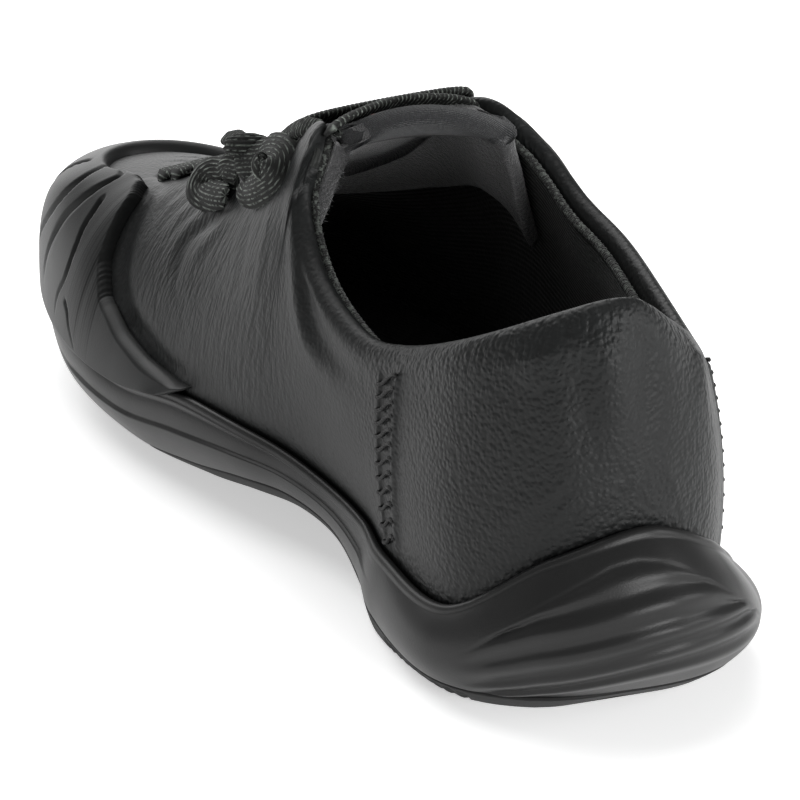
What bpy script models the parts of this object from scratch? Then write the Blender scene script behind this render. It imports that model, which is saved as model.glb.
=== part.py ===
"""Low-top leather sneaker, right shoe: cup sole, hollow upper, toe cap, tongue, insole and laces.

Frame: +X to the toe, +Y to the medial side, +Z up. Sizes are in millimetres; MM makes them metres.
"""

from collections import namedtuple

import bmesh
import bpy
import numpy as np
from mathutils import Matrix

MM = 0.001

# Driving sizes of this shoe
LENGTH = 268.0
BALL_WIDTH = 96.0
INSTEP_HEIGHT = 97.0

# Sizes that the tables below are drawn for
TABLE_LENGTH = 268.0
TABLE_BALL_WIDTH = 96.0
TABLE_INSTEP_HEIGHT = 97.0

GAP = 0.3
LEATHER = 2.2
COLLAR_PAD = 4.2
SEAM_STEP = 0.8
SEAM_HALF_WIDTH = 2.4
OUTSOLE_THICK = 5.0
INSOLE_THICK = 4.0
TONGUE_THICK = 4.0
CAP_GAP = 0.8
CAP_THICK_LOW = 4.0
CAP_THICK_TOP = 2.2
LACE_WIDTH = 12.0
LACE_THICK = 2.0

# Ribs of the upper from the sole to its open edge, heel to toe. foot is on the sole, edge is on the
# collar or throat. lean and rise set how the wall leaves the sole (degrees, mm), drop and reach how
# it comes to the edge.
Rib = namedtuple("Rib", "foot_x foot_y foot_z lean rise edge_x edge_y edge_z drop reach")
HEEL_RIB = Rib(10.5, 0, 18, 4, 30, 11.5, 0, 89.5, 78, 20)
TOE_RIB = Rib(266, 9, 19.5, 5, 26, 215.5, 17.5, 54.3, 4, 32)
MEDIAL_RIBS = {
    "heel_corner": Rib(15.5, 17, 18, 5, 28, 15.5, 14.5, 88, 74, 20),
    "heel_side": Rib(33, 29.5, 17.5, 5, 24, 34, 27, 78, 82, 18),
    "seam": Rib(62.5, 29.3, 17, 7, 22, 62.8, 30, 66, 84, 15),
    "dip": Rib(79, 26.4, 16.5, 15, 22, 80.5, 31, 63.5, 82, 15),
    "waist": Rib(96, 26, 16, 20, 22, 102, 30.5, 70, 76, 16),
    "rise": Rib(113, 28.5, 15, 20, 24, 115.4, 27, 83, 68, 20),
    "corner": Rib(130, 33.5, 14, 16, 26, 119.5, 21, 97, 58, 22),
    "instep": Rib(152, 38.5, 13, 12, 26, 150, 16.5, 79, 38, 18),
    "ball": Rib(178, 43, 12, 8, 24, 182, 16.5, 66, 24, 17),
    "joint": Rib(207, 43.5, 13, 6, 24, 203.5, 20.5, 57.3, 18, 15),
    "toe_side": Rib(239, 37, 16, 5, 24, 212, 21, 54.8, 8, 21),
    "toe_corner": Rib(257.5, 27.5, 18.5, 5, 25, 214.5, 19.5, 54.4, 5, 28),
}
LATERAL_RIBS = {
    "heel_corner": Rib(14.5, -15.5, 18, 5, 28, 18.8, -13.5, 80.8, 68, 20),
    "heel_side": Rib(24, -25.7, 17.7, 5, 26, 26, -20, 75.8, 71, 19),
    "seam": Rib(37, -32.2, 17.4, 4.5, 23, 35, -26, 71, 77, 16),
    "dip": Rib(73, -32.5, 16.5, 5, 22, 72, -32.5, 77, 82, 15),
    "waist": Rib(96, -34.5, 16, 6, 22, 92, -31, 82.5, 76, 16),
    "rise": Rib(114, -37.5, 15, 6, 24, 106, -26.5, 91.5, 68, 20),
    "corner": Rib(132, -41, 14, 6, 26, 119, -18.5, 98, 58, 22),
    "instep": Rib(154, -45, 13, 6, 26, 150, -15, 80, 38, 18),
    "ball": Rib(178, -45, 12, 6, 22, 180, -7, 66.5, 22, 18),
    "joint": Rib(206, -38.5, 13, 6, 24, 203, 7, 59, 10, 24),
    "toe_side": Rib(238, -22, 16, 5, 24, 211.5, 13.5, 55.4, 4, 28),
    "toe_corner": Rib(257.5, -9.5, 18.5, 5, 25, 214.5, 15.5, 54.6, 4, 31),
}

# Side wall of the sole at the same ribs: lip is its top edge, side its widest place and base its
# bottom edge. out is measured outwards from the rib's foot. A base below 0 is cut flat by the floor.
Side = namedtuple("Side", "lip_z lip_thick side_out side_z base_out base_z")
HEEL_SIDE = Side(42.5, 3.0, 8.5, 12, -7, 0.6)
TOE_SIDE = Side(24, 2.5, 3.5, 18, -5, 12)
MEDIAL_SIDES = {
    "heel_corner": Side(36.5, 3.0, 8, 12, -5, 0.2),
    "heel_side": Side(20.8, 3.0, 7, 10, -0.5, -1),
    "seam": Side(19, 3.0, 4.9, 9.4, 2.6, 0.4),
    "dip": Side(20.5, 2.5, 3.9, 10.3, 1.8, 3),
    "waist": Side(22, 2.5, 3, 12, 0, 7.5),
    "rise": Side(24, 2.5, 3, 13, -1, 9),
    "corner": Side(25, 2.5, 3.5, 13, -3, 7),
    "instep": Side(24.5, 2.5, 3.5, 11, -6, 2.5),
    "ball": Side(20.5, 2.5, 4, 10, -8, -0.6),
    "joint": Side(20, 2.5, 4, 12, -9, -0.3),
    "toe_side": Side(21, 2.5, 3, 15, -7, 5.5),
    "toe_corner": Side(22.5, 2.5, 3.2, 17, -6, 9.5),
}
LATERAL_SIDES = {
    "heel_corner": Side(35, 3.0, 9.5, 10.3, -2.6, 0.3),
    "heel_side": Side(25, 3.0, 9.5, 8.8, 1.5, -0.5),
    "seam": Side(20, 3.0, 8.6, 8, 4, -1),
    "dip": Side(20.5, 2.5, 4, 10, 2, 1.5),
    "waist": Side(21, 2.5, 3.5, 11, 1, 4),
    "rise": Side(22, 2.5, 3.5, 11, 1, 4.5),
    "corner": Side(22, 2.5, 4, 10, 0, 3),
    "instep": Side(21.5, 2.5, 4.5, 9, -1, 0.6),
    "ball": Side(20.5, 2.5, 4.5, 9, -6, -1),
    "joint": Side(20, 2.5, 4.5, 10, -6, -0.2),
    "toe_side": Side(21, 2.5, 3.5, 15, -6, 6),
    "toe_corner": Side(22.5, 2.5, 3.4, 17, -6, 9.8),
}

# Top edge of the toe cap, from the medial wing over the tab to the lateral wing: a place around the
# shoe, counted in ribs from the heel, and the share of the rib's length that the cap covers.
CapEdge = namedtuple("CapEdge", "rib cover")
MEDIAL_CAP_EDGE = [
    CapEdge(7.85, 0.16), CapEdge(8.6, 0.21), CapEdge(9.05, 0.26), CapEdge(9.47, 0.34), CapEdge(9.7, 0.46),
    CapEdge(9.83, 0.62), CapEdge(9.95, 0.78), CapEdge(10.2, 0.88), CapEdge(10.7, 0.92), CapEdge(11.3, 0.9),
    CapEdge(12, 0.8), CapEdge(13, 0.68),
]
LATERAL_CAP_EDGE = [
    CapEdge(12.2, 0.62), CapEdge(11, 0.52), CapEdge(10, 0.4), CapEdge(9, 0.29), CapEdge(7.95, 0.19),
]

# Grooves of the toe cap, each from its top end to its bottom end: places in ribs, heights as shares
# of the cap's own height there.
Groove = namedtuple("Groove", "top_rib top_share low_rib low_share")
CAP_GROOVES = [
    Groove(10.3, 0.70, 10.2, 0.08), Groove(10.7, 0.86, 10.9, 0.04), Groove(11.4, 0.86, 11.45, 0.08),
    Groove(12.3, 0.84, 12.1, 0.08), Groove(13.2, 0.84, 13.0, 0.08), Groove(14.2, 0.84, 14.2, 0.1),
]
GROOVE_RADIUS = 1.3

# Pockets between the lugs of the tread: distance from the heel, slant and the margin left at the edge.
Pocket = namedtuple("Pocket", "x slant margin")
POCKETS = [Pocket(x, 4, 8) for x in (30, 41, 52)] + [Pocket(x, -6, 9) for x in range(158, 238, 11)]
POCKET_WIDTH = 4.0
POCKET_DEPTH = 2.8

# Slanted nicks in the medial side of the forefoot tread: places in ribs.
SIDE_NICKS = [8.7, 8.85, 9.0, 9.15]
NICK_WIDTH = 1.6
NICK_DEPTH = 1.6

# Flutes of the heel back: shares of the side wall's height, and how far each row is sunk.
FLUTE_SHARES = [0, 0.09, 0.17, 0.25, 0.33, 0.41, 0.49, 0.57, 0.65, 0.71, 0.84, 1]
FLUTE_SINK = [0, 0.6, 1.6, 0.7, 1.8, 0.8, 1.9, 0.9, 2.0, 0.1, 0, 0]

# Crown of the tongue and laces between the throat's edges: place in ribs, handle as a share of the gap.
ThroatArch = namedtuple("ThroatArch", "rib handle")
THROAT_ARCH = [
    ThroatArch(6.7, 0.32), ThroatArch(6.9, 0.18), ThroatArch(7.2, 0.05), ThroatArch(7.5, 0.03),
    ThroatArch(8, 0.09), ThroatArch(9, 0.18), ThroatArch(10.8, 0.22),
]

# Bars of the lace over the throat: places on the medial and the lateral edge, in ribs.
LaceBar = namedtuple("LaceBar", "medial lateral")
LACE_BARS = [
    LaceBar(10.4, 10.4), LaceBar(9.9, 9.9), LaceBar(9.4, 9.4), LaceBar(8.9, 8.9),
    LaceBar(8.4, 8.35), LaceBar(7.92, 7.8), LaceBar(7.45, 7.3),
]

# Bow of the lace on the medial side: each point is a place in ribs, a share of the rib and a lift.
LacePoint = namedtuple("LacePoint", "rib cover lift")
HEEL_LOOP = [
    LacePoint(8.08, 0.91, 4.8), LacePoint(7.85, 0.925, 5.2), LacePoint(7.55, 0.915, 5.4),
    LacePoint(7.28, 0.885, 5.2), LacePoint(7.17, 0.84, 5.0), LacePoint(7.28, 0.795, 4.6),
    LacePoint(7.55, 0.77, 4.4), LacePoint(7.82, 0.775, 4.2), LacePoint(8.04, 0.81, 4.0),
]
TOE_LOOP = [
    LacePoint(8.52, 0.90, 4.8), LacePoint(8.66, 0.91, 6.4), LacePoint(8.82, 0.90, 5.0),
    LacePoint(8.98, 0.88, 6.2), LacePoint(9.08, 0.845, 4.8), LacePoint(9.0, 0.805, 4.4),
    LacePoint(8.8, 0.785, 4.2), LacePoint(8.58, 0.775, 4.0), LacePoint(8.36, 0.775, 3.8),
]
BOW_END = [LacePoint(8.38, 0.98, 6.6), LacePoint(8.5, 1.0, 7.0), LacePoint(8.66, 1.0, 7.2)]
BOW_KNOT = LacePoint(8.3, 0.90, 6.2)
KNOT_SIZE = (10.0, 8.0, 6.0)
LOOP_RADIUS = 2.2

RIB_COUNT = 2 * (len(MEDIAL_RIBS) + 1)
TOE = RIB_COUNT // 2
SEAM = 1 + list(MEDIAL_RIBS).index("seam")
CORNER = 1 + list(MEDIAL_RIBS).index("corner")
COVERS = np.array([0, 0.08, 0.17, 0.27, 0.37, 0.48, 0.59, 0.7, 0.81, 0.9, 0.96, 1])
UP = np.array([0.0, 0.0, 1.0])


def around(first, medial, toe, lateral):
    """The rows of a table in one loop: heel, medial side, toe, lateral side."""
    return np.array([first, *medial.values(), toe, *reversed(lateral.values())], float)


def sized(rows, x_columns, y_columns, z_columns):
    """The rows scaled from the table's size to the shoe's."""
    rows = rows.copy()
    rows[:, x_columns] *= LENGTH / TABLE_LENGTH
    rows[:, y_columns] *= BALL_WIDTH / TABLE_BALL_WIDTH
    rows[:, z_columns] *= INSTEP_HEIGHT / TABLE_INSTEP_HEIGHT
    return rows


RIBS = sized(around(HEEL_RIB, MEDIAL_RIBS, TOE_RIB, LATERAL_RIBS), [0, 5], [1, 6], [2, 4, 7, 9])
SIDES = sized(around(HEEL_SIDE, MEDIAL_SIDES, TOE_SIDE, LATERAL_SIDES), [], [2, 4], [0, 3, 5])


def read(rows, places):
    """A smooth closed curve through the rows, read at places counted in rows from the first."""
    places = np.asarray(places, float)
    start = np.floor(places).astype(int)
    t = (places - start)[:, None]
    before, here, after, beyond = (rows[(start + k) % len(rows)] for k in (-1, 0, 1, 2))
    slope = after - before
    bend = 2 * before - 5 * here + 4 * after - beyond
    twist = 3 * here - before - 3 * after + beyond
    return here + 0.5 * (slope * t + bend * t**2 + twist * t**3)


def outward(places):
    """Level direction away from the shoe, square to the foot line."""
    ahead = read(RIBS, np.asarray(places) + 0.02)[:, :2]
    back = read(RIBS, np.asarray(places) - 0.02)[:, :2]
    along = ahead - back
    along /= np.linalg.norm(along, axis=1)[:, None]
    return np.stack([-along[:, 1], along[:, 0], 0 * along[:, 0]], axis=1)


def edge_direction(places):
    """Direction in which the upper runs down and out from its open edge."""
    drop = np.radians(read(RIBS, places)[:, 8:9])
    return outward(places) * np.cos(drop) - UP * np.sin(drop)


def outer_face(places, covers):
    """Points of the upper's outer face, [place, cover]; cover is 0 at the sole and 1 at the edge."""
    rib = read(RIBS, places)
    lean = np.radians(rib[:, 3:4])
    foot, edge = rib[:, 0:3], rib[:, 5:8]
    low = foot + rib[:, 4:5] * (outward(places) * np.sin(lean) + UP * np.cos(lean))
    high = edge + rib[:, 9:10] * edge_direction(places)
    t = np.asarray(covers, float)
    t = np.broadcast_to(t, (len(rib), t.shape[-1]))[:, :, None]
    foot, low, high, edge = (p[:, None, :] for p in (foot, low, high, edge))
    return (1 - t) ** 3 * foot + 3 * t * (1 - t) ** 2 * low + 3 * t**2 * (1 - t) * high + t**3 * edge


def face_normals(places, covers):
    """Outward unit normals of the outer face at the same points."""
    step = 0.01
    places = np.asarray(places, float)
    covers = np.asarray(covers, float)
    along = outer_face(places + step, covers) - outer_face(places - step, covers)
    rise = outer_face(places, covers + step) - outer_face(places, covers - step)
    normal = np.cross(rise, along)
    return normal / np.linalg.norm(normal, axis=2)[:, :, None]


def smooth_step(values, low, high):
    t = np.clip((np.asarray(values, float) - low) / (high - low), 0, 1)
    return t * t * (3 - 2 * t)


def from_heel(places):
    """Ribs counted from the heel on either side."""
    places = np.asarray(places, float) % RIB_COUNT
    return np.minimum(places, RIB_COUNT - places)


def wall_thickness(places, covers):
    """Leather alone at the toe and throat, leather over padding near the collar."""
    collar = 1 - smooth_step(from_heel(places), CORNER - 0.1, CORNER + 0.6)
    collar = collar * (1 - 0.4 * smooth_step(from_heel(places), CORNER - 2.5, CORNER - 1))
    padding = smooth_step(covers, 0.45, 0.8) * (1 - 0.35 * smooth_step(covers, 0.93, 1))
    return LEATHER + COLLAR_PAD * collar[:, None] * np.atleast_2d(padding)


def columns_around():
    """Places of the mesh columns, closer together at the two heel seams."""
    side = [rib + k / 3 for rib in (0, 1, 2, TOE - 3, TOE - 2, TOE - 1) for k in range(3)]
    side += [rib + k / 2 for rib in range(3, TOE - 3) for k in range(2)] + [TOE]
    rib_pitch = 0.5 * np.linalg.norm(RIBS[SEAM + 1, :3] - RIBS[SEAM - 1, :3])
    half = SEAM_HALF_WIDTH / rib_pitch
    side += [SEAM - 1.25 * half, SEAM - half, SEAM + half, SEAM + 1.25 * half]
    side = np.array(sorted(side))
    return np.concatenate([side, RIB_COUNT - side[-2:0:-1]])


def seam_height(places):
    """The step of the overlapped seams at the two sides of the heel."""
    rib_pitch = 0.5 * np.linalg.norm(RIBS[SEAM + 1, :3] - RIBS[SEAM - 1, :3])
    offset = np.abs(from_heel(places) - SEAM) * rib_pitch / SEAM_HALF_WIDTH
    return SEAM_STEP * (1 - smooth_step(offset, 1.0, 1.24))


def material(name, colour, roughness):
    made = bpy.data.materials.new(name)
    made.use_nodes = True
    shader = made.node_tree.nodes["Principled BSDF"]
    shader.inputs["Base Color"].default_value = (*colour, 1)
    shader.inputs["Roughness"].default_value = roughness
    return made


def solid(name, points, faces, finish):
    """One closed object from points in millimetres, with its faces turned out."""
    mesh = bpy.data.meshes.new(name)
    mesh.from_pydata((np.asarray(points) * MM).tolist(), [], [list(face) for face in faces])
    shell = bmesh.new()
    shell.from_mesh(mesh)
    bmesh.ops.remove_doubles(shell, verts=shell.verts, dist=0.001 * MM)
    bmesh.ops.recalc_face_normals(shell, faces=shell.faces)
    shell.to_mesh(mesh)
    shell.free()
    if finish:
        mesh.materials.append(finish)
    made = bpy.data.objects.new(name, mesh)
    bpy.context.scene.collection.objects.link(made)
    return made


def ring_faces(ring_count, size, start=0):
    """Quads between rings of points that follow each other in the list."""
    faces = []
    for ring in range(ring_count - 1):
        for i in range(size):
            a = start + ring * size + i
            b = start + ring * size + (i + 1) % size
            faces.append((a, b, b + size, a + size))
    return faces


def ladder(ring, start, first_index, spans):
    """Points and faces that close a ring from its medial to its lateral side in a few spans."""
    half = len(ring) // 2
    points, faces = [], []
    rungs = [[first_index] * (spans + 1)]
    for i in range(1, half):
        medial, lateral = ring[i], ring[-i]
        inner = []
        for k in range(1, spans):
            inner.append(start + len(points))
            points.append(medial + (lateral - medial) * k / spans)
        rungs.append([first_index + i, *inner, first_index + len(ring) - i])
    rungs.append([first_index + half] * (spans + 1))
    for low, high in zip(rungs, rungs[1:]):
        for k in range(spans):
            corners = dict.fromkeys((low[k], high[k], high[k + 1], low[k + 1]))
            faces.append(tuple(corners))
    return points, faces


def ringed_solid(name, rings, finish, spans=2):
    """A closed solid from rings around the shoe, its first and last rings closed by ladders."""
    size = len(rings[0])
    points = [point for ring in rings for point in ring]
    faces = ring_faces(len(rings), size)
    for ring, first_index in ((rings[0], 0), (rings[-1], (len(rings) - 1) * size)):
        more, cap = ladder(ring, len(points), first_index, spans)
        points += more
        faces += cap
    return solid(name, points, faces, finish)


def place_of_height(places, heights):
    """Covers at which the upper's outer face reaches the given heights, [place, height]."""
    samples = np.linspace(0, 0.8, 60)
    levels = outer_face(places, samples)[:, :, 2]
    return np.array([np.interp(h, level, samples) for h, level in zip(heights, levels)])


def on_face(places, covers, offset):
    return outer_face(places, covers) + face_normals(places, covers) * np.asarray(offset)[..., None]


def sole_wall(places, shares):
    """Points of the sole's side, [place, share]; share is 0 at its base and 1 under its lip."""
    side = read(SIDES, places)
    foot = read(RIBS, places)[:, None, 0:3]
    lip_z, lip_thick, side_out, side_z, base_out, base_z = (side[:, k : k + 1] for k in range(6))
    base_z = np.maximum(base_z, 0)
    cover = place_of_height(places, lip_z)
    lip = on_face(places, cover, lip_thick)[:, 0]
    out = outward(places)
    lip_out = ((lip - foot[:, 0]) * out).sum(axis=1)[:, None]
    top_z = lip_z - 1.5
    t = np.asarray(shares, float)[None, :]
    m = (side_z - base_z) / (top_z - base_z)
    reach = (
        base_out * (t - m) * (t - 1) / m
        + side_out * t * (t - 1) / (m * (m - 1))
        + lip_out * t * (t - m) / (1 - m)
    )
    points = foot + out[:, None, :] * reach[:, :, None]
    points[:, :, 2] = base_z + (top_z - base_z) * t
    return points


def wall_at(places, shares):
    """One point of the sole's side for each place, at that place's own share."""
    return np.array([sole_wall([place], [share])[0, 0] for place, share in zip(places, shares)])


def share_of_height(places, above_base):
    side = read(SIDES, places)
    base_z = np.maximum(side[:, 5], 0)
    return above_base / (side[:, 0] - 1.5 - base_z)


def cut(body, shapes):
    """Takes closed shapes, given as points and faces, out of a body."""
    points, faces = [], []
    for shape_points, shape_faces in shapes:
        faces += [tuple(len(points) + k for k in face) for face in shape_faces]
        points += list(shape_points)
    cutter = solid("cutter", points, faces, None)
    carve = body.modifiers.new("carve", "BOOLEAN")
    carve.operation = "DIFFERENCE"
    carve.solver = "EXACT"
    carve.object = cutter
    bpy.context.view_layer.objects.active = body
    bpy.ops.object.modifier_apply(modifier=carve.name)
    bpy.data.objects.remove(cutter, do_unlink=True)


def box(centre, axes, size):
    """Points and faces of a box along three axes."""
    signs = [(i, j, k) for i in (-1, 1) for j in (-1, 1) for k in (-1, 1)]
    half = np.asarray(size) / 2
    points = [centre + sum(s * h * np.asarray(a) for s, h, a in zip(sign, half, axes)) for sign in signs]
    faces = [(0, 1, 3, 2), (4, 6, 7, 5), (0, 4, 5, 1), (2, 3, 7, 6), (0, 2, 6, 4), (1, 5, 7, 3)]
    return points, faces


def pocket_box(x, slant, margin):
    """A slot across the tread, sunk from its underside."""
    base = wall_at(columns_around(), 0 * columns_around())
    half = len(base) // 2
    medial, lateral = base[1:half], base[:half:-1]
    near = np.array([np.interp(x, medial[:, 0], medial[:, k]) for k in (1, 2)])
    far = np.array([np.interp(x, lateral[:, 0], lateral[:, k]) for k in (1, 2)])
    angle = np.radians(slant)
    along = np.array([np.sin(angle), np.cos(angle), 0])
    square = np.array([np.cos(angle), -np.sin(angle), 0])
    floor = (near[1] + far[1]) / 2
    centre = np.array([x, (near[0] + far[0]) / 2, floor + POCKET_DEPTH - 5])
    return box(centre, (square, along, UP), (POCKET_WIDTH, near[0] - far[0] - 2 * margin, 10))


def nick_box(rib):
    """A slanted nick in the side of the tread."""
    share = 0.5 * share_of_height([rib], OUTSOLE_THICK)
    low, high = wall_at([rib], 0 * share)[0], wall_at([rib], 2 * share)[0]
    out = outward([rib])[0]
    along = np.cross(out, UP)
    rise = high - low + 1.2 * along
    rise /= np.linalg.norm(rise)
    across = np.cross(rise, out)
    across /= np.linalg.norm(across)
    facing = np.cross(across, rise)
    centre = (low + high) / 2 + facing * (1.5 - NICK_DEPTH)
    return box(centre, (across, facing, rise), (NICK_WIDTH, 3, 14))


def tube(path, radius, sides=6):
    """Points and faces of a closed tube along a path."""
    path = np.asarray(path, float)
    along = np.gradient(path, axis=0)
    along /= np.linalg.norm(along, axis=1)[:, None]
    side = np.cross(along, UP + 0.01)
    side /= np.linalg.norm(side, axis=1)[:, None]
    top = np.cross(side, along)
    points, faces = [], []
    for centre, a, b in zip(path, side, top):
        for k in range(sides):
            turn = 2 * np.pi * k / sides
            points.append(centre + radius * (a * np.cos(turn) + b * np.sin(turn)))
    faces = ring_faces(len(path), sides)
    faces.append(tuple(range(sides)))
    faces.append(tuple(range(len(points) - sides, len(points))))
    return points, faces


def make_upper(finish):
    places = columns_around()
    lip_cover = place_of_height(places, read(SIDES, places)[:, 0:1])
    above_lip = smooth_step(COVERS[None, :] - lip_cover, 0.02, 0.1)
    step = seam_height(places)[:, None] * above_lip * (1 - smooth_step(COVERS, 0.97, 1))
    outer = on_face(places, COVERS, step)
    inner = on_face(places, COVERS, -wall_thickness(places, COVERS))
    outer[:, 0, 2] = inner[:, 0, 2] = read(RIBS, places)[:, 2]
    rim = (outer[:, -1] + inner[:, -1]) / 2
    rim -= 0.35 * edge_direction(places) * np.linalg.norm(outer[:, -1] - inner[:, -1], axis=1)[:, None]
    rings = [outer[:, k] for k in range(len(COVERS))] + [rim]
    rings += [inner[:, k] for k in reversed(range(len(COVERS)))]
    size = len(places)
    points = [point for ring in rings for point in ring]
    faces = ring_faces(len(rings), size)
    last = (len(rings) - 1) * size
    faces += [(last + i, last + (i + 1) % size, (i + 1) % size, i) for i in range(size)]
    return solid("upper", points, faces, finish)


def make_midsole(finish):
    places = columns_around()
    side = read(SIDES, places)
    foot_z = read(RIBS, places)[:, 2]
    low = share_of_height(places, OUTSOLE_THICK + GAP)
    at_heel = 1 - smooth_step(from_heel(places), 1.3, 2.4)
    rings = []
    for share, sink in zip(FLUTE_SHARES, FLUTE_SINK):
        wall = wall_at(places, low + (1 - low) * share)
        rings.append(wall - outward(places) * (sink * at_heel)[:, None])
    lip_cover = place_of_height(places, side[:, 0:1])
    rings.append(on_face(places, lip_cover, 0.65 * side[:, 1:2])[:, 0])
    for part in (0.97, 0.5, 0):
        height = foot_z + (side[:, 0] - foot_z) * part
        cover = place_of_height(places, height[:, None])
        rings.append(on_face(places, cover, np.full_like(cover, GAP))[:, 0])
    floor = rings[-1].copy()
    floor[:, 2] = foot_z - GAP
    rings[-1] = floor
    return ringed_solid("midsole", rings, finish)


def make_outsole(finish):
    places = columns_around()
    high = share_of_height(places, OUTSOLE_THICK)
    rings = []
    for share in (0, 0.5, 1):
        rings.append(wall_at(places, high * share))
    tread = ringed_solid("outsole", rings, finish)
    cut(tread, [pocket_box(*pocket) for pocket in POCKETS] + [nick_box(rib) for rib in SIDE_NICKS])
    return tread


def make_insole(finish):
    places = columns_around()
    foot_z = read(RIBS, places)[:, 2]
    rings = []
    for lift in (GAP, INSOLE_THICK):
        cover = place_of_height(places, (foot_z + lift)[:, None])
        ring = on_face(places, cover, np.full_like(cover, -LEATHER - 0.6))[:, 0]
        ring[:, 2] = foot_z + lift
        rings.append(ring)
    return ringed_solid("insole", rings, finish)


def make_toe_cap(finish):
    edge = cap_edge()
    corners = edge[:, 0]
    between = [p for p in columns_around() if corners[0] < p < corners[-1] and abs(corners - p).min() > 0.1]
    places = np.array(sorted([*corners, *between]))
    low, top = cap_range(places)
    share = np.linspace(0, 1, 9)[None, :]
    covers = low + (top - low) * share
    thick = cap_thickness(share) + 0 * covers
    thick[:, -1] *= 0.7
    inner = on_face(places, covers, np.full_like(covers, CAP_GAP))
    outer = on_face(places, covers, CAP_GAP + thick)
    count, rows = covers.shape
    points = list(outer.reshape(-1, 3)) + list(inner.reshape(-1, 3))
    half = count * rows
    faces = []
    for i in range(count - 1):
        for j in range(rows - 1):
            a = i * rows + j
            quad = (a, a + rows, a + rows + 1, a + 1)
            faces += [quad, tuple(half + k for k in quad)]
        for j in (0, rows - 1):
            a = i * rows + j
            faces.append((a, a + rows, half + a + rows, half + a))
    for i in (0, count - 1):
        for j in range(rows - 1):
            a = i * rows + j
            faces.append((a, a + 1, half + a + 1, half + a))
    cap = solid("toe_cap", points, faces, finish)
    cut(cap, [tube(groove_path(groove), GROOVE_RADIUS) for groove in CAP_GROOVES])
    return cap


def cap_edge():
    """The cap's top edge as one run of places and covers."""
    lateral = [CapEdge(RIB_COUNT - point.rib, point.cover) for point in LATERAL_CAP_EDGE]
    return np.array(MEDIAL_CAP_EDGE + lateral)


def cap_range(places):
    """Covers at which the toe cap starts above the sole and ends at its top edge."""
    edge = cap_edge()
    low = place_of_height(places, read(SIDES, places)[:, 0:1] + GAP)
    top = np.interp(places, edge[:, 0], edge[:, 1])[:, None]
    return low, np.maximum(top, low + 0.05)


def cap_thickness(share):
    return CAP_THICK_LOW + (CAP_THICK_TOP - CAP_THICK_LOW) * share


def groove_path(groove):
    """Points along a groove on the cap's outer face, curving round the toe."""
    t = np.linspace(0, 1, 11)
    bow = 0.12 * np.sin(np.pi * t)
    places = groove.top_rib + (groove.low_rib - groove.top_rib) * t + bow
    share = (groove.top_share + (groove.low_share - groove.top_share) * t)[:, None]
    low, top = cap_range(places)
    return on_face(places, low + (top - low) * share, CAP_GAP + cap_thickness(share) + 0.3)[:, 0]


def throat_sections(medial_places, lateral_places, flank_covers, flank_count, bridge_count):
    """Sections across the throat that carry on from the upper's flanks, with each point's wall."""
    sections, walls = [], []
    for near, far, flank in zip(medial_places, lateral_places, flank_covers):
        covers = np.linspace(flank, 1, flank_count)
        far = RIB_COUNT - far
        medial = outer_face([near], covers)[0]
        lateral = outer_face([far], covers)[0]
        wall = wall_thickness([near], covers)[0]
        far_wall = wall_thickness([far], covers)[0]
        start, end = medial[-1], lateral[-1]
        handle = np.interp(near, *zip(*THROAT_ARCH)) * np.linalg.norm(end - start)
        rise_in = start - handle * edge_direction([near])[0]
        rise_out = end - handle * edge_direction([far])[0]
        t = np.linspace(0, 1, bridge_count + 2)[1:-1, None]
        bridge = (1 - t) ** 3 * start + 3 * t * (1 - t) ** 2 * rise_in
        bridge += 3 * t**2 * (1 - t) * rise_out + t**3 * end
        sections.append(np.concatenate([medial, bridge, lateral[::-1]]))
        over = wall[-1] + (far_wall[-1] - wall[-1]) * t[:, 0]
        walls.append(np.concatenate([wall, over, far_wall[::-1]]))
    return np.array(sections), np.array(walls)


def grid_normals(grid):
    along = np.gradient(grid, axis=0)
    across = np.gradient(grid, axis=1)
    normal = np.cross(across, along)
    normal /= np.linalg.norm(normal, axis=2)[:, :, None]
    return normal * np.sign(normal[:, normal.shape[1] // 2, 2]).mean()


def plate(name, upper_side, lower_side, finish):
    """A closed plate between two grids of points."""
    count, rows = upper_side.shape[:2]
    points = list(upper_side.reshape(-1, 3)) + list(lower_side.reshape(-1, 3))
    half = count * rows
    faces = []
    for i in range(count - 1):
        for j in range(rows - 1):
            a = i * rows + j
            quad = (a, a + rows, a + rows + 1, a + 1)
            faces += [quad, tuple(half + k for k in quad)]
    border = [(i * rows, (i + 1) * rows) for i in range(count - 1)]
    border += [(i * rows + rows - 1, (i + 1) * rows + rows - 1) for i in range(count - 1)]
    border += [(j, j + 1) for j in range(rows - 1)]
    border += [((count - 1) * rows + j, (count - 1) * rows + j + 1) for j in range(rows - 1)]
    faces += [(a, b, half + b, half + a) for a, b in border]
    return solid(name, points, faces, finish)


def make_tongue(finish):
    medial = np.linspace(10.8, 6.7, 13)
    lateral = medial - 0.45 * smooth_step(-medial, -8, -6.7)
    flanks = np.interp(medial, [6.7, 7, 8, 10.8], [0.6, 0.66, 0.78, 0.9])
    sections, walls = throat_sections(medial, lateral, flanks, 5, 6)
    normal = grid_normals(sections)
    top = sections - normal * (walls + 4 * GAP)[:, :, None]
    bottom = top - normal * TONGUE_THICK
    return plate("tongue", top, bottom, finish)


def make_lace_bar(number, bar, finish):
    """One flat run of the lace from eyestay to eyestay."""
    half = 0.5 * LACE_WIDTH / 31
    spread = np.array([half, -half])
    sections, _ = throat_sections(bar.medial + spread, bar.lateral + spread, [0.93] * 2, 2, 5)
    normal = grid_normals(sections)
    low = sections + normal * 2 * GAP
    return plate(f"lace_bar_{number}", low + normal * LACE_THICK, low, finish)


def lace_path(points):
    rows = np.array(points)
    return np.array([on_face([r], [c], np.array([[h]]))[0, 0] for r, c, h in rows])


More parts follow.
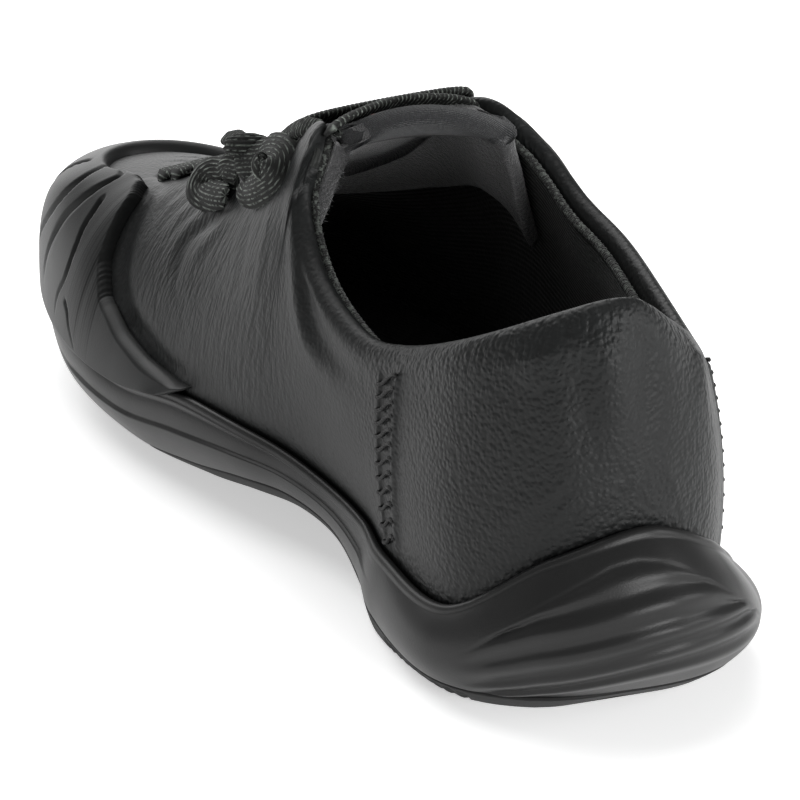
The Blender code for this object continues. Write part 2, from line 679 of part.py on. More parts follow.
def make_cord(name, points, finish):
    """A round run of free lace through hand-placed points."""
    curve = bpy.data.curves.new(name, "CURVE")
    curve.dimensions = "3D"
    curve.bevel_depth = LOOP_RADIUS * MM
    curve.bevel_resolution = 2
    curve.resolution_u = 3
    curve.use_fill_caps = True
    spline = curve.splines.new("BEZIER")
    path = lace_path(points) * MM
    spline.bezier_points.add(len(path) - 1)
    for knot, place in zip(spline.bezier_points, path):
        knot.co = place
        knot.handle_left_type = knot.handle_right_type = "AUTO"
    curve.materials.append(finish)
    made = bpy.data.objects.new(name, curve)
    bpy.context.scene.collection.objects.link(made)
    return made


def make_knot(finish):
    """The knot of the bow, a rounded lump on the eyestay."""
    place = np.array([BOW_KNOT.rib])
    cover = np.array([BOW_KNOT.cover])
    normal = face_normals(place, cover)[0, 0]
    along = outer_face(place + 0.05, cover)[0, 0] - outer_face(place - 0.05, cover)[0, 0]
    along /= np.linalg.norm(along)
    across = np.cross(normal, along)
    centre = on_face(place, cover, np.array([[BOW_KNOT.lift]]))[0, 0]
    lump = bmesh.new()
    bmesh.ops.create_icosphere(lump, subdivisions=2, radius=0.5)
    points = []
    for vertex in lump.verts:
        offsets = zip(vertex.co, KNOT_SIZE, (along, across, normal))
        points.append(centre + sum(c * size * axis for c, size, axis in offsets))
    faces = [tuple(v.index for v in face.verts) for face in lump.faces]
    lump.free()
    return solid("lace_knot", points, faces, finish)


def clear_scene():
    for old in list(bpy.data.objects):
        bpy.data.objects.remove(old, do_unlink=True)


def set_over_origin(pieces, cords):
    """Moves everything so that the shoe, without its free cords, stands over the origin."""
    corners = np.array([corner for piece in pieces for corner in piece.bound_box])
    low, high = corners.min(axis=0), corners.max(axis=0)
    middle = (low + high) / 2
    shift = Matrix.Translation((-middle[0], -middle[1], -low[2]))
    for piece in pieces + cords:
        piece.data.transform(shift)
    return shift


def main():
    clear_scene()
    leather = material("black_leather", (0.018, 0.019, 0.019), 0.45)
    sole_rubber = material("midsole_rubber", (0.016, 0.016, 0.017), 0.5)
    tread_rubber = material("tread_rubber", (0.012, 0.012, 0.013), 0.65)
    cap_rubber = material("cap_rubber", (0.02, 0.02, 0.021), 0.5)
    fleece = material("tongue_fleece", (0.03, 0.03, 0.031), 0.95)
    foot_bed = material("foot_bed_foam", (0.01, 0.01, 0.01), 0.95)
    lace = material("knit_lace", (0.03, 0.032, 0.03), 0.85)
    pieces = [
        make_outsole(tread_rubber),
        make_midsole(sole_rubber),
        make_upper(leather),
        make_insole(foot_bed),
        make_tongue(fleece),
        make_toe_cap(cap_rubber),
    ]
    pieces += [make_lace_bar(number, bar, lace) for number, bar in enumerate(LACE_BARS, start=1)]
    cords = [
        make_knot(lace),
        make_cord("lace_heel_loop", HEEL_LOOP, lace),
        make_cord("lace_toe_loop", TOE_LOOP, lace),
        make_cord("lace_end", BOW_END, lace),
    ]
    return set_over_origin(pieces, cords)


main()
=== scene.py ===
"""Looks of the low-top sneaker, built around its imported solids.

The tables are in millimetres, in the shoe's own frame: x from the back of the heel to the toe, y to
the medial side, z up from the floor. Places around the shoe are counted in ribs from the heel.
"""

import math
from collections import namedtuple

import bpy
import numpy as np
from bpy.props import FloatProperty, FloatVectorProperty, IntProperty, PointerProperty
from mathutils import Matrix, Vector


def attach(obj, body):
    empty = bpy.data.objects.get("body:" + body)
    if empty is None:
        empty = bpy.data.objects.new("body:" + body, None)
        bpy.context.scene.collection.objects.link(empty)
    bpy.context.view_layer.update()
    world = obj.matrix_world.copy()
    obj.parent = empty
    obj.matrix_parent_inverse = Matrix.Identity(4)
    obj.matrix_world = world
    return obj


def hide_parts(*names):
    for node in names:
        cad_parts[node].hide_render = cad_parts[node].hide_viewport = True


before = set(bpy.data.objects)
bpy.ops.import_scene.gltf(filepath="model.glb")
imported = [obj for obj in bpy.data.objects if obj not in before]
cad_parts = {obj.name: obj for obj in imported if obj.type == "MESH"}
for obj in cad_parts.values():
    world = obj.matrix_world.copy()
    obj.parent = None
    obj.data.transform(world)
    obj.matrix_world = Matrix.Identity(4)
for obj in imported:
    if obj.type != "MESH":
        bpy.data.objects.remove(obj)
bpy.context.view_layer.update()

bl_info = {
    "name": "Low-top sneaker",
    "version": (1, 0, 0),
    "blender": (4, 5, 0),
    "location": "View3D > Sidebar > Sneaker",
    "description": "Builds the leather, rubber, fabrics and lace of a low-top sneaker",
    "category": "Object",
}

MM = 0.001
ORIGIN = np.array([134.0012, -0.8940, 0.0])
UP = np.array([0.0, 0.0, 1.0])

# Ribs of the upper, from its foot on the sole to its open edge, as in the solids.
Rib = namedtuple("Rib", "foot_x foot_y foot_z lean rise edge_x edge_y edge_z drop reach")
RIBS = np.array([
    Rib(10.5, 0, 18, 4, 30, 11.5, 0, 89.5, 78, 20),
    Rib(15.5, 17, 18, 5, 28, 15.5, 14.5, 88, 74, 20),
    Rib(33, 29.5, 17.5, 5, 24, 34, 27, 78, 82, 18),
    Rib(62.5, 29.3, 17, 7, 22, 62.8, 30, 66, 84, 15),
    Rib(79, 26.4, 16.5, 15, 22, 80.5, 31, 63.5, 82, 15),
    Rib(96, 26, 16, 20, 22, 102, 30.5, 70, 76, 16),
    Rib(113, 28.5, 15, 20, 24, 115.4, 27, 83, 68, 20),
    Rib(130, 33.5, 14, 16, 26, 119.5, 21, 97, 58, 22),
    Rib(152, 38.5, 13, 12, 26, 150, 16.5, 79, 38, 18),
    Rib(178, 43, 12, 8, 24, 182, 16.5, 66, 24, 17),
    Rib(207, 43.5, 13, 6, 24, 203.5, 20.5, 57.3, 18, 15),
    Rib(239, 37, 16, 5, 24, 212, 21, 54.8, 8, 21),
    Rib(257.5, 27.5, 18.5, 5, 25, 214.5, 19.5, 54.4, 5, 28),
    Rib(266, 9, 19.5, 5, 26, 215.5, 17.5, 54.3, 4, 32),
    Rib(257.5, -9.5, 18.5, 5, 25, 214.5, 15.5, 54.6, 4, 31),
    Rib(238, -22, 16, 5, 24, 211.5, 13.5, 55.4, 4, 28),
    Rib(206, -38.5, 13, 6, 24, 203, 7, 59, 10, 24),
    Rib(178, -45, 12, 6, 22, 180, -7, 66.5, 22, 18),
    Rib(154, -45, 13, 6, 26, 150, -15, 80, 38, 18),
    Rib(132, -41, 14, 6, 26, 119, -18.5, 98, 58, 22),
    Rib(114, -37.5, 15, 6, 24, 106, -26.5, 91.5, 68, 20),
    Rib(96, -34.5, 16, 6, 22, 92, -31, 82.5, 76, 16),
    Rib(73, -32.5, 16.5, 5, 22, 72, -32.5, 77, 82, 15),
    Rib(37, -32.2, 17.4, 4.5, 23, 35, -26, 71, 77, 16),
    Rib(24, -25.7, 17.7, 5, 26, 26, -20, 75.8, 71, 19),
    Rib(14.5, -15.5, 18, 5, 28, 18.8, -13.5, 80.8, 68, 20),
], float)

# Side wall of the sole at the same ribs.
Side = namedtuple("Side", "lip_z lip_thick side_out side_z base_out base_z")
SIDES = np.array([
    Side(42.5, 3.0, 8.5, 12, -7, 0.6),
    Side(36.5, 3.0, 8, 12, -5, 0.2),
    Side(20.8, 3.0, 7, 10, -0.5, -1),
    Side(19, 3.0, 4.9, 9.4, 2.6, 0.4),
    Side(20.5, 2.5, 3.9, 10.3, 1.8, 3),
    Side(22, 2.5, 3, 12, 0, 7.5),
    Side(24, 2.5, 3, 13, -1, 9),
    Side(25, 2.5, 3.5, 13, -3, 7),
    Side(24.5, 2.5, 3.5, 11, -6, 2.5),
    Side(20.5, 2.5, 4, 10, -8, -0.6),
    Side(20, 2.5, 4, 12, -9, -0.3),
    Side(21, 2.5, 3, 15, -7, 5.5),
    Side(22.5, 2.5, 3.2, 17, -6, 9.5),
    Side(24, 2.5, 3.5, 18, -5, 12),
    Side(22.5, 2.5, 3.4, 17, -6, 9.8),
    Side(21, 2.5, 3.5, 15, -6, 6),
    Side(20, 2.5, 4.5, 10, -6, -0.2),
    Side(20.5, 2.5, 4.5, 9, -6, -1),
    Side(21.5, 2.5, 4.5, 9, -1, 0.6),
    Side(22, 2.5, 4, 10, 0, 3),
    Side(22, 2.5, 3.5, 11, 1, 4.5),
    Side(21, 2.5, 3.5, 11, 1, 4),
    Side(20.5, 2.5, 4, 10, 2, 1.5),
    Side(20, 3.0, 8.6, 8, 4, -1),
    Side(25, 3.0, 9.5, 8.8, 1.5, -0.5),
    Side(35, 3.0, 9.5, 10.3, -2.6, 0.3),
], float)

RIB_COUNT = len(RIBS)
TOE = RIB_COUNT // 2
# The heel seams and the collar's corners, in ribs from the heel on either side
SEAM = 3
CORNER = 7
SEAM_PITCH = 0.5 * np.linalg.norm(RIBS[SEAM + 1, :3] - RIBS[SEAM - 1, :3])
# The whip stitches end at this cover.
SEAM_TOP = 0.87
# The sole's wall ends this far under the top of its lip, and its tread is this tall, mm.
LIP_UNDER = 1.5
LIP_ROUND = 1.7
TREAD_TALL = 5.0
# Leather with its backing, where there is no padding, mm
BARE_WALL = 2.2
# Gap between the sole's inner wall and the leather, mm
SOLE_GAP = 0.1

# Top edge of the toe cap: places in ribs, and the share of the rib that the cap covers.
CAP_EDGE = np.array([
    (7.85, 0.16), (8.6, 0.21), (9.05, 0.26), (9.47, 0.34), (9.7, 0.46), (9.83, 0.62), (9.95, 0.78),
    (10.2, 0.88), (10.7, 0.92), (11.3, 0.9), (12, 0.8), (13, 0.68), (13.8, 0.62), (15, 0.52),
    (16, 0.4), (17, 0.29), (18.05, 0.19),
])

# Grooves of the toe cap as runs of places and covers, top end first.
CAP_GROOVES = [
    [(10.4, 0.69), (10.3, 0.606), (10.25, 0.526), (10.18, 0.445), (10.15, 0.365), (10.15, 0.288),
     (10.23, 0.203), (10.25, 0.12)],
    [(11.5, 0.885), (10.95, 0.85), (10.83, 0.794), (10.78, 0.709), (10.73, 0.606), (10.73, 0.49),
     (10.73, 0.378), (10.73, 0.275), (10.75, 0.14)],
    [(12.1, 0.848), (11.83, 0.808), (11.58, 0.754), (11.33, 0.655), (11.18, 0.526), (11.15, 0.4),
     (11.28, 0.253), (11.33, 0.14)],
    [(12.1, 0.7), (12.0, 0.58), (11.9, 0.46), (11.95, 0.32), (12.1, 0.16)],
    [(13.0, 0.6), (12.85, 0.48), (12.8, 0.34), (12.95, 0.16)],
    [(14.0, 0.54), (13.9, 0.44), (13.9, 0.3), (14.0, 0.16)],
    [(10.04, 0.225), (9.94, 0.2), (9.88, 0.165), (9.8, 0.135), (9.7, 0.1)],
]

# Soft creases of the leather: runs of places and covers, half width and height in mm (below 0 sinks).
Crease = namedtuple("Crease", "run width height")
CREASES = [
    Crease([(0.52, 0.95), (0.45, 0.812), (0.4, 0.69), (0.35, 0.58)], 4.4, 1.1),
    Crease([(0.9, 0.88), (0.8, 0.745), (0.73, 0.655), (0.65, 0.5)], 3.4, -1.0),
    Crease([(1.16, 0.92), (1.28, 0.857), (1.31, 0.75)], 4.2, 0.9),
    Crease([(25.96, 0.93), (25.95, 0.857), (25.95, 0.736), (25.93, 0.54)], 3.2, -1.1),
    Crease([(24.4, 0.97), (24.75, 0.834), (24.9, 0.723), (25.0, 0.58)], 4.0, 0.8),
    Crease([(0.66, 0.42), (0.98, 0.338), (1.2, 0.265)], 1.2, 0.5),
    Crease([(0.78, 0.49), (1.15, 0.387), (1.45, 0.295)], 1.4, 0.45),
    Crease([(0.5, 0.395), (0.73, 0.338), (0.86, 0.295)], 1.1, 0.45),
    Crease([(1.08, 0.475), (1.4, 0.36), (1.62, 0.275)], 1.5, 0.4),
    Crease([(0.3, 0.45), (0.42, 0.4), (0.55, 0.36)], 1.0, 0.4),
    Crease([(0.05, 0.5), (0.12, 0.44), (0.22, 0.4)], 1.1, 0.4),
    Crease([(25.7, 0.5), (25.6, 0.42), (25.4, 0.36)], 1.4, 0.4),
    Crease([(8.28, 0.79), (8.47, 0.7), (8.62, 0.638), (8.62, 0.56), (8.5, 0.46)], 2.0, -1.1),
    Crease([(8.12, 0.74), (8.26, 0.65), (8.38, 0.58), (8.38, 0.5)], 2.2, 0.6),
    Crease([(8.75, 0.78), (8.85, 0.7), (8.9, 0.6)], 1.4, -0.5),
    Crease([(9.0, 0.84), (9.1, 0.76), (9.14, 0.64)], 1.2, -0.5),
    Crease([(9.3, 0.86), (9.4, 0.76), (9.42, 0.6)], 1.2, -0.45),
    Crease([(7.75, 0.8), (7.6, 0.66), (7.4, 0.5)], 1.6, -0.4),
    Crease([(7.4, 0.82), (7.2, 0.66), (7.0, 0.48)], 1.8, 0.4),
    Crease([(9.86, 0.84), (9.74, 0.69), (9.62, 0.57), (9.48, 0.463), (9.33, 0.378), (9.08, 0.302),
            (8.7, 0.248), (8.35, 0.208), (7.9, 0.186)], 3.2, -1.7),
    Crease([(6.9, 0.93), (6.3, 0.95), (5.8, 0.94), (5.4, 0.88), (5.14, 0.76), (4.9, 0.68),
            (4.4, 0.66)], 3.2, 1.3),
    Crease([(6.2, 0.98), (5.6, 0.98), (5.1, 0.91), (4.75, 0.82), (4.3, 0.8), (3.6, 0.82)], 3.2, -1.0),
    Crease([(16.6, 0.8), (16.4, 0.7), (16.5, 0.6)], 2.0, -0.6),
    Crease([(17.4, 0.86), (17.2, 0.72), (17.3, 0.58)], 1.8, -0.5),
    Crease([(18.3, 0.84), (18.4, 0.7), (18.6, 0.56)], 2.2, -0.5),
    Crease([(19.1, 0.93), (19.7, 0.95), (20.3, 0.93), (20.8, 0.84), (21.4, 0.78)], 3.2, 0.9),
    Crease([(20.0, 0.98), (20.6, 0.96), (21.2, 0.9), (22.0, 0.88)], 3.2, -0.8),
    Crease([(13.4, 0.83), (13.9, 0.8), (14.6, 0.8)], 0.9, -0.3),
    Crease([(13.2, 0.9), (13.9, 0.87), (14.8, 0.86)], 0.8, -0.3),
]

# Crown of the laces between the throat's edges: place in ribs, handle as a share of the gap.
THROAT_ARCH = [(6.7, 0.32), (6.9, 0.18), (7.2, 0.05), (7.5, 0.03), (8, 0.09), (9, 0.18), (10.8, 0.22)]

# The same crown for the tongue, whose end lies lower
TONGUE_ARCH = [(6.7, 0.25), (6.9, 0.15), (7.2, 0.04), (7.5, 0.03), (8, 0.09), (9, 0.18), (10.8, 0.22)]

# Points of a section between the throat's edges
BRIDGE_COUNT = 30

# Bars of the lace over the throat: places on the medial and the lateral edge.
LACE_BARS = [(10.4, 10.4), (9.9, 9.9), (9.4, 9.4), (8.9, 8.9), (8.4, 8.35), (7.92, 7.8), (7.45, 7.3)]

# Bow of the lace on the medial side, as in the solids: place, cover and lift in mm.
HEEL_LOOP = [
    (8.08, 0.91, 4.8), (7.85, 0.925, 5.2), (7.55, 0.915, 5.4), (7.28, 0.885, 5.2), (7.17, 0.84, 5.0),
    (7.28, 0.795, 4.6), (7.55, 0.77, 4.4), (7.82, 0.775, 4.2), (8.04, 0.81, 4.0),
]
TOE_LOOP = [
    (8.52, 0.90, 4.8), (8.66, 0.91, 6.4), (8.82, 0.90, 5.0), (8.98, 0.88, 6.2), (9.08, 0.845, 4.8),
    (9.0, 0.805, 4.4), (8.8, 0.785, 4.2), (8.58, 0.775, 4.0), (8.36, 0.775, 3.8),
]
BOW_END = [(8.38, 0.98, 6.6), (8.5, 1.0, 7.0), (8.66, 1.0, 7.2)]
KNOT_PLACE = (8.0, 0.94, 6.6)
# Last run of the lace, from the knot to the top eyelet on the medial side
LACE_LEAD = [(8.1, 0.965, 3.2), (7.85, 0.975, 2.6), (7.6, 0.985, 2.2), (7.4, 0.99, 1.0), (7.2, 0.985, -2.2)]
LACE_RIB = 1.0


def linear(code):
    """An sRGB hex colour as linear RGB."""
    parts = [int(code[k : k + 2], 16) / 255 for k in (1, 3, 5)]
    return [p / 12.92 if p <= 0.04045 else ((p + 0.055) / 1.055) ** 2.4 for p in parts]


def length_mm(name, description, value):
    """A size in millimetres that a user can change."""
    return FloatProperty(name=name, description=description, default=value, min=0.0, unit="NONE")


def colour(name, description, code):
    """A colour that a user can change, given as an sRGB hex code."""
    return FloatVectorProperty(
        name=name, description=description, subtype="COLOR", size=3, min=0.0, max=1.0, default=linear(code)
    )


class SneakerSizes(bpy.types.PropertyGroup):
    """Sizes of the shoe's finish, in millimetres."""

    leather: length_mm("Leather", "Thickness of the leather, mm", 1.6)
    collar_pad: length_mm("Collar pad", "Foam under the collar, mm", 4.2)
    seam_width: length_mm("Seam width", "Half width of the heel seams, mm", 3.6)
    seam_step: length_mm("Seam step", "Depth of the stitched heel seams, mm", 0.5)
    stitch_pitch: length_mm("Stitch pitch", "Distance between seam stitches, mm", 3.2)
    groove_width: length_mm("Groove width", "Half width of the toe cap's grooves, mm", 0.85)
    groove_depth: length_mm("Groove depth", "Depth of the toe cap's grooves, mm", 1.3)
    lace_width: length_mm("Lace width", "Width of the flat lace, mm", 11.0)
    lace_thick: length_mm("Lace thickness", "Thickness of the flat lace, mm", 2.0)
    lace_rib: length_mm("Lace rib", "Pitch of the lace's knitted ribs, mm", LACE_RIB)
    tongue: length_mm("Tongue", "Thickness of the padded tongue, mm", 3.6)
    fuzz: IntProperty(name="Fuzz", description="Fibres on the tongue's lining", default=900, min=0)


class SneakerColours(bpy.types.PropertyGroup):
    """Colours of the shoe's finishes."""

    leather: colour("Leather", "Black drum-dyed leather", "#161717")
    leather_crest: colour("Leather crest", "Rubbed crests of the grain", "#252727")
    rubber: colour("Rubber", "Moulded rubber of the sole", "#1d1d1d")
    tread: colour("Tread", "Rubber of the tread", "#171717")
    cap: colour("Toe cap", "Moulded rubber of the toe cap", "#151616")
    # The fleece's own dark grey, darkened further as painted shade over the tongue's lining.
    fleece: colour("Fleece", "Brushed lining of the tongue", "#28282a")
    mesh: colour("Mesh", "Knitted lining of the collar", "#1a1c1a")
    binding: colour("Binding", "Woven tape at the tongue's edge", "#1f2022")
    lace: colour("Lace", "Ground of the knitted lace", "#0c0d0b")
    lace_fleck: colour("Lace fleck", "Light stitches of the lace", "#838a83")
    piping: colour("Piping", "Thin edge under the tongue's tape", "#5e221e")
    foot_bed: colour("Foot bed", "Cloth over the foot bed", "#141414")
    thread: colour("Thread", "Thread of the seams", "#0d0d0d")
    floor: colour("Floor", "Studio floor", "#fafafa")


def spline(before, here, after, beyond, t):
    """A smooth curve from here to after, t from 0 to 1, led by the points on either side."""
    slope = after - before
    bend = 2 * before - 5 * here + 4 * after - beyond
    twist = 3 * here - before - 3 * after + beyond
    return here + 0.5 * (slope * t + bend * t**2 + twist * t**3)


def bezier(start, leave, arrive, end, t):
    """A cubic curve from start to end, t from 0 to 1, with its two handles."""
    return (1 - t) ** 3 * start + 3 * t * (1 - t) ** 2 * leave + 3 * t**2 * (1 - t) * arrive + t**3 * end


def read(rows, places):
    """A smooth closed curve through the rows, read at places counted in rows from the first."""
    places = np.asarray(places, float)
    start = np.floor(places).astype(int)
    t = (places - start)[:, None]
    return spline(*(rows[(start + k) % len(rows)] for k in (-1, 0, 1, 2)), t)


def smooth_step(values, low, high):
    """0 below low, 1 above high and a soft S between."""
    t = np.clip((np.asarray(values, float) - low) / (high - low), 0, 1)
    return t * t * (3 - 2 * t)


def soft_span(values, rise_from, rise_to, fall_from, fall_to):
    """1 between two soft ends and 0 outside them."""
    return smooth_step(values, rise_from, rise_to) * (1 - smooth_step(values, fall_from, fall_to))


def soft_ends(shares, low, high):
    """1 in the middle of a run of shares and 0 at its two ends."""
    return smooth_step(shares, low, high) * smooth_step(1 - shares, low, high)


def quarter_round(distance, radius):
    """Share of the full thickness at a distance from a rounded edge."""
    return np.sqrt(np.clip(1 - (1 - np.clip(distance / radius, 0, 1)) ** 2, 0, 1))


def unit(vectors):
    """The same directions at length 1."""
    return vectors / np.linalg.norm(vectors, axis=-1, keepdims=True)


def walk(points):
    """Distance walked along points, from the first."""
    return np.concatenate([[0], np.cumsum(np.linalg.norm(np.diff(points, axis=0), axis=1))])


def mean_rise(points):
    """Mean distance walked up the rows of points[column, row]."""
    return np.concatenate([[0], np.linalg.norm(np.diff(points, axis=1), axis=2).mean(axis=0).cumsum()])


def spread(first, second):
    """UV of a grid from two measures in mm, each given by column, by row or by both."""
    return np.stack(np.broadcast_arrays(first, second), axis=2)


def from_heel(places):
    """Ribs counted from the heel on either side."""
    places = np.asarray(places, float) % RIB_COUNT
    return np.minimum(places, RIB_COUNT - places)


def outward(places):
    """Level direction away from the shoe, square to the foot line."""
    step = 0.02
    places = np.asarray(places, float)
    along = unit((read(RIBS, places + step) - read(RIBS, places - step))[:, :2])
    return np.stack([-along[:, 1], along[:, 0], 0 * along[:, 0]], axis=1)


def edge_direction(places):
    """Direction in which the upper runs down and out from its open edge."""
    drop = np.radians(read(RIBS, places)[:, 8:9])
    return outward(places) * np.cos(drop) - UP * np.sin(drop)


def outer_face(places, covers):
    """Points of the upper's outer face, [place, cover]; cover is 0 at the sole and 1 at the edge."""
    rib = read(RIBS, places)
    lean = np.radians(rib[:, 3:4])
    foot, edge = rib[:, 0:3], rib[:, 5:8]
    low = foot + rib[:, 4:5] * (outward(places) * np.sin(lean) + UP * np.cos(lean))
    high = edge + rib[:, 9:10] * edge_direction(places)
    t = np.asarray(covers, float)
    t = np.broadcast_to(t, (len(rib), t.shape[-1]))[:, :, None]
    foot, low, high, edge = (p[:, None, :] for p in (foot, low, high, edge))
    return bezier(foot, low, high, edge, t)


def face_normals(places, covers):
    """Outward unit normals of the outer face at the same points."""
    step = 0.01
    places, covers = np.asarray(places, float), np.asarray(covers, float)
    along = unit(outer_face(places + step, covers) - outer_face(places - step, covers))
    # Where the collar turns into the throat the ribs crowd together, so the foot line leads there.
    level = np.cross(outward(places), UP)[:, None, :]
    turn = soft_span(from_heel(places), 5.2, 5.9, 7.2, 7.8)
    along = along + (level - along) * turn[:, None, None]
    rise = outer_face(places, covers + step) - outer_face(places, covers - step)
    return unit(np.cross(rise, along))


def on_face(places, covers, offset):
    """Points off the upper's outer face by offset[place, cover], in mm."""
    return outer_face(places, covers) + face_normals(places, covers) * np.asarray(offset)[..., None]


def face_points(rows):
    """Points for rows of place, cover and lift."""
    rows = np.atleast_2d(np.asarray(rows, float))
    return np.array([on_face([r], [c], np.array([[h]]))[0, 0] for r, c, h in rows])


def place_of_height(places, heights):
    """Covers at which the upper's outer face reaches the given heights, [place, height]."""
    samples = np.linspace(0, 0.8, 80)
    levels = outer_face(places, samples)[:, :, 2]
    return np.array([np.interp(h, level, samples) for h, level in zip(heights, levels)])


def wall_thickness(places, covers):
    """Leather alone at the toe and throat, leather over padding near the collar."""
    sizes = bpy.context.scene.sneaker_sizes
    collar = 1 - smooth_step(from_heel(places), CORNER - 0.1, CORNER + 0.6)
    collar = collar * (1 - 0.4 * smooth_step(from_heel(places), CORNER - 2.5, CORNER - 1))
    padding = smooth_step(covers, 0.45, 0.8) * (1 - 0.35 * smooth_step(covers, 0.93, 1))
    return BARE_WALL + sizes.collar_pad * collar[:, None] * np.atleast_2d(padding)


def sole_side(places, shares):
    """Points of the sole's side, [place, share]; share is 0 at its base and 1 under its lip."""
    side = read(SIDES, places)
    foot = read(RIBS, places)[:, None, 0:3]
    lip_z, lip_thick, side_out, side_z, base_out, base_z = (side[:, k : k + 1] for k in range(6))
    base_z = np.maximum(base_z, 0)
    lip = on_face(places, place_of_height(places, lip_z), lip_thick)[:, 0]
    out = outward(places)
    lip_out = ((lip - foot[:, 0]) * out).sum(axis=1)[:, None]
    top_z = lip_z - LIP_UNDER
    t = np.atleast_2d(shares)
    m = (side_z - base_z) / (top_z - base_z)
    reach = (
        base_out * (t - m) * (t - 1) / m
        + side_out * t * (t - 1) / (m * (m - 1))
        + lip_out * t * (t - m) / (1 - m)
    )
    points = foot + out[:, None, :] * reach[:, :, None]
    points[:, :, 2] = base_z + (top_z - base_z) * t
    return points


def share_of_height(places, above_base):
    """Shares at which the sole's side is this far above its base."""
    side = read(SIDES, places)
    return above_base / (side[:, 0] - LIP_UNDER - np.maximum(side[:, 5], 0))


def ring_at(places, heights, offset):
    """Ring off the upper's outer face at these heights."""
    cover = place_of_height(places, heights[:, None])
    return on_face(places, cover, np.full_like(cover, offset))[:, 0]


def both_sides(side):
    """Columns of the medial side, then the lateral ones, back to the heel."""
    return np.concatenate([side, [TOE], RIB_COUNT - side[:0:-1], [RIB_COUNT]])


def run_points(points, spacing):
    """A smooth open run through points, at about this spacing."""
    points = np.asarray(points, float)
    ends = np.concatenate([[2 * points[0] - points[1]], points, [2 * points[-1] - points[-2]]])
    fine = []
    for k in range(len(points) - 1):
        t = np.linspace(0, 1, 24, endpoint=False)[:, None]
        fine.append(spline(*ends[k : k + 4], t))
    fine = np.concatenate(fine + [points[-1:]])
    walked = walk(fine[:, :3])
    count = max(2, int(round(walked[-1] / spacing)) + 1)
    places = np.linspace(0, walked[-1], count)
    return np.stack([np.interp(places, walked, column) for column in fine.T], axis=1)


def distance_to_run(points, run):
    """Distance of each point to a run in mm, and how far along the run it is, from 0 to 1."""
    best = np.full(len(points), 1e9)
    where = np.zeros(len(points))
    for k, (a, b) in enumerate(zip(run, run[1:])):
        step = b - a
        t = np.clip(((points - a) @ step) / (step @ step), 0, 1)
        gap = np.linalg.norm(points - a - t[:, None] * step, axis=1)
        closer = gap < best
        best[closer] = gap[closer]
        where[closer] = (k + t[closer]) / (len(run) - 1)
    return best, where


def grid_piece(name, points, finish_name, uv=None, join_columns=False, join_rows=False, marks=None):
    """A grid primitive shaped to points[column, row] in mm; joined ends are merged into one skin."""
    columns, rows = points.shape[:2]
    if uv is None:
        uv = np.zeros((columns, rows, 2))
    points = points.copy()
    if join_columns:
        points[-1] = points[0]
    if join_rows:
        points[:, -1] = points[:, 0]
    bpy.ops.object.select_all(action="DESELECT")
    bpy.ops.mesh.primitive_grid_add(x_subdivisions=columns - 1, y_subdivisions=rows - 1, size=1)
    piece = bpy.context.object
    piece.name = piece.data.name = name
    mesh = piece.data
    flat = ((points - ORIGIN) * MM).transpose(1, 0, 2).reshape(-1, 3)
    mesh.vertices.foreach_set("co", flat.astype(np.float32).ravel())
    corner = np.empty(len(mesh.loops), np.int32)
    mesh.loops.foreach_get("vertex_index", corner)
    mapped = uv.transpose(1, 0, 2).reshape(-1, 2)[corner]
    mesh.uv_layers.active.data.foreach_set("uv", mapped.astype(np.float32).ravel())
    for label, values in (marks or {}).items():
        mark = mesh.attributes.new(label, "FLOAT", "POINT")
        mark.data.foreach_set("value", values.T.reshape(-1).astype(np.float32))
    close_skin(piece)
    mesh.materials.append(finish(finish_name))
    return piece


def close_skin(piece):
    """Merges coincident points, turns the faces out and shades them smooth."""
    bpy.ops.object.select_all(action="DESELECT")
    piece.select_set(True)
    bpy.context.view_layer.objects.active = piece
    bpy.ops.object.mode_set(mode="EDIT")
    bpy.ops.mesh.select_all(action="SELECT")
    bpy.ops.mesh.remove_doubles(threshold=2e-6)
    bpy.ops.mesh.dissolve_degenerate(threshold=1e-6)
    bpy.ops.mesh.normals_make_consistent(inside=False)
    bpy.ops.object.mode_set(mode="OBJECT")
    bpy.ops.object.shade_smooth()
    return piece


def put_on(piece, slot, *nodes):
    """Lets a piece ride with the shoe and stand for its solids, which it hides; the slot is not used."""
    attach(piece, "root")
    if nodes:
        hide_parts(*nodes)
    return piece


def joined(name, pieces):
    """Several objects made one."""
    bpy.ops.object.select_all(action="DESELECT")
    for piece in pieces:
        piece.select_set(True)
    bpy.context.view_layer.objects.active = pieces[0]
    bpy.ops.object.join()
    pieces[0].name = pieces[0].data.name = name
    return pieces[0]


